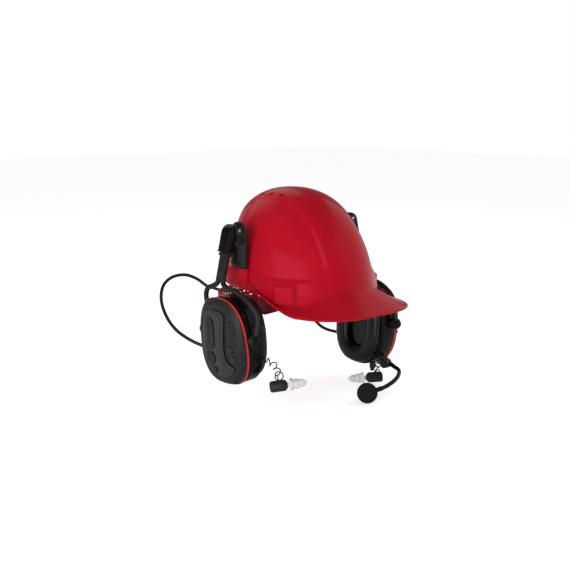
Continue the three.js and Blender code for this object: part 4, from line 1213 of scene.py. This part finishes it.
def buildCushion(side):
    seam, half = cupShape["seam"], cupShape["half"]
    back = seam - 0.0006
    edge = half - 0.0024
    profile = [(0.0215, back), (0.0195, -0.013), (0.022, -0.0176), (0.0272, -0.0197), (0.0325, -0.02),
        (0.0388, -0.0197), (edge - 0.0024, -0.0176), (edge, -0.0135), (edge, -0.0095),
        (edge - 0.0008, back)]
    pad = ovalBody(f"{side}_ear_cushion", profile, closed=True, crease=60)
    puffUp(pad, 0.004, 4, 0.0014, lambda p: p.x > back - 0.002)
    welt = ovalBody("welt", [(edge, back - 0.0001), (edge + 0.0012, back - 0.0001),
        (edge + 0.0015, back - 0.0006), (edge + 0.0012, back - 0.0012), (edge, back - 0.0014)], closed=True)
    cushion = joinMeshes(f"{side}_ear_cushion", [pad, welt])
    onCup(side, cushion, "cushionSkin", "cushion")
    return cushion


def buildCupInside(side):
    r = cupShape["half"] - 0.0056
    liner = ovalBody(f"{side}_liner", [(0, -0.0026), (r - 0.0045, -0.0026), (r - 0.001, -0.0018), (r, 0),
        (r - 0.001, 0.0014), (r - 0.0045, 0.0022), (0, 0.0022)], crease=60)
    onCup(side, liner, "linerFoam", "foam_liner")
    speaker = softenedNode(f"{side}_speaker_can", f"{side}_speaker", 0.0006)
    finishPiece(speaker, f"{side}_headset", "steel", [f"{side}_speaker"])
    gland = [(0, -0.004), (0.0041, -0.004), (0.0041, 0.0005)]
    for k in range(4):
        a = 0.0012 + 0.002 * k
        r = 0.0038 - 0.0003 * k
        gland += [(r, a), (r, a + 0.0009), (r - 0.0008, a + 0.0012), (r - 0.0009, a + 0.0018)]
    gland += [(0.0024, 0.0088), (0, 0.0088)]
    relief = turned(f"{side}_gland_boot", gland, (crossover["glandN"], crossover["glandF"],
        crossover["glandU"]), (0, -0.009, -0.002), 32, 30)
    onCup(side, relief, "rubber", "cable_gland")


# Gloss panel and keys on the right cover, in f and u on its face.
panelThick, buttonRise = 0.0016, 0.001
panelEdge = [(-0.019, -0.043), (0.002, -0.051), (0.012, -0.0495), (0.024, -0.044), (0.033, -0.036),
    (0.035, -0.031), (0.022, -0.0285), (0.014, -0.022), (0.011, -0.008), (0.013, 0.015), (0.017, 0.043),
    (0.009, 0.0465), (-0.012, 0.047), (-0.027, 0.042), (-0.033, 0.018), (-0.035, -0.008), (-0.0315, -0.028)]
buttons = {"rocker": {"f": -0.016, "u": 0.012, "width": 0.0155, "height": 0.046, "corner": 0.0055},
    "power": {"f": -0.018, "u": -0.025, "width": 0.018, "height": 0.018, "corner": 0.0052},
    "mode": {"f": -0.0095, "u": -0.0405, "width": 0.009, "height": 0.008, "corner": 0.0018}}


def buttonOutline(button, grow=0.0):
    f, u, w, h, c = (button["f"], button["u"], button["width"] / 2 + grow, button["height"] / 2 + grow,
        button["corner"])
    return [(f - w + c, u - h), (f + w - c, u - h), (f + w, u - h + c), (f + w, u + h - c),
        (f + w - c, u + h), (f - w + c, u + h), (f - w, u + h - c), (f - w, u - h + c)]


def buildControls():
    face = cupShape["face"] + 0.0003
    top = face + panelThick
    plateBody = facePlate("panel", roundedOutline(panelEdge, 0.005), face, top)
    holes = [facePlate("hole", roundedOutline(buttonOutline(b, 0.0004), 0.0012), face - 0.001, top + 0.001)
        for b in buttons.values()]
    carve(plateBody, holes)
    softenEdges(plateBody, 0.0005, 3)
    plateBody.name = "right_gloss_panel"
    finishPiece(plateBody, "right_headset", "panelBlack", ["right_control_panel"],
        cupPlace["right"])
    for key, node in (("rocker", "volume_rocker"), ("power", "power_button"), ("mode", "mode_button")):
        button = buttons[key]
        keyBody = facePlate("key", roundedOutline(buttonOutline(button), 0.0012), top - 0.0006,
            top + buttonRise)
        high = top + buttonRise
        if key == "rocker":
            dents = [turned("dent", [(0, 0.0035), (0.0016, 0.0031), (0.0031, 0.0019), (0.0042, 0), (0, 0)],
                (high + 0.0004, button["f"], button["u"] + end * 0.013), (-1, 0, 0), 36) for end in (-1, 1)]
            for dent in dents:
                dent.data.transform(Matrix.Translation((high, 0, 0)) @ Matrix.Diagonal((0.28, 1, 1, 1))
                    @ Matrix.Translation((-high, 0, 0)))
            carve(keyBody, dents)
        if key == "power":
            carve(keyBody, [turned("ringCut", [(0.0046, 0), (0.0052, 0), (0.0052, 0.001), (0.0046, 0.001)],
                (high - 0.0003, button["f"], button["u"]), (1, 0, 0), 48)])
        softenEdges(keyBody, 0.0004, 2, 40)
        keyBody.name = f"right_{key}_key"
        finishPiece(keyBody, key, "matteBlack", [f"right_{node}"], cupPlace["right"])


# Boom on the left cup, in the cup's own measures.
boom = {"f": 0.042, "u": -0.058, "hubN": 0.0135, "radius": 0.0032, "ball": 0.0155,
    "centre": (-0.085, 0.096, -0.082), "route": [(0.016, 0.058, -0.061), (0.012, 0.071, -0.063),
    (-0.002, 0.084, -0.066), (-0.021, 0.093, -0.071), (-0.046, 0.097, -0.077), (-0.067, 0.097, -0.080)]}


def buildBoom():
    f, u, hub = boom["f"], boom["u"], boom["hubN"]
    socket = softenedNode("left_boom_mount", "left_boom_socket", 0.0006)
    finishPiece(socket, "left_headset", "satinBlack", ["left_boom_socket"])
    root = turned("root", [(0, hub + 0.0003), (0.0078, hub + 0.0003), (0.008, hub + 0.0006),
        (0.0076, hub + 0.0052), (0.0068, hub + 0.007), (0.0045, hub + 0.008), (0, hub + 0.0082)], (0, f, u),
        (1, 0, 0), 48)
    neck = turned("neck", [(0, 0), (0.0038, 0), (0.0038, 0.006), (0.0034, 0.0145), (0.0029, 0.0158),
        (0, 0.0158)], (0.0186, f, u), (-0.0016, 0.015, -0.0027), 32)
    line = smoothPath([(0.0174, f + 0.012, u - 0.0022), *boom["route"]], 110)
    tube = sweptTube("tube", line, lambda t: (boom["radius"] * (1 - 0.12 * smoothStep(t, 0.75, 0.95)),) * 2,
        20)
    collar = sweptTube("collar", line[96:], lambda t: (boom["radius"] + 0.0004,) * 2, 24)
    finishPiece(joinMeshes("left_boom_arm", [root, neck, tube, collar]), "boom", "glossBlack",
        ["left_boom_tube"], cupPlace["left"])
    steps, size = 40, boom["ball"]
    axis = Vector(boom["route"][-1]) - Vector(boom["centre"])
    profile = [(size * math.sin(a), size * (math.cos(a) * (1.0 if a > 0.4 else 0.97)))
        for a in (math.pi * j / steps for j in range(1, steps))]
    ball = turned("left_mic_ball", profile, boom["centre"], axis, 64, 80)
    finishPiece(ball, "boom", "micFoam", ["left_mic_windscreen"], cupPlace["left"])
    jack = turned("left_jack_stub", [(0, 0), (0.005, 0), (0.005, 0.006), (0.0044, 0.0068), (0.0044, 0.0078),
        (0.005, 0.0086), (0.0049, 0.0146), (0.0046, 0.0158), (0.0035, 0.0162), (0.0034, 0.0196),
        (0.003, 0.02), (0.0018, 0.02), (0.0018, 0.0185), (0, 0.0185)], (0.0095, 0.018, -0.0545), (0, 0, -1),
        36)
    finishPiece(jack, "left_headset", "rubber", ["left_accessory_jack"], cupPlace["left"])


for side in ("right", "left"):
    buildArms(side)
    buildCup(side)
    buildCover(side)
    buildCupInside(side)
    buildCushion(side)
    print(side, "ear ready")
buildControls()
buildBoom()

carried = {"right_hinge_pin": "steel", "left_hinge_pin": "steel", "right_circuit_board": "board",
    "left_battery": "foil"}
for node, finish in carried.items():
    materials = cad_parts[node].data.materials
    materials.clear()
    materials.append(finishes[finish])
print("controls, boom and inner parts ready")
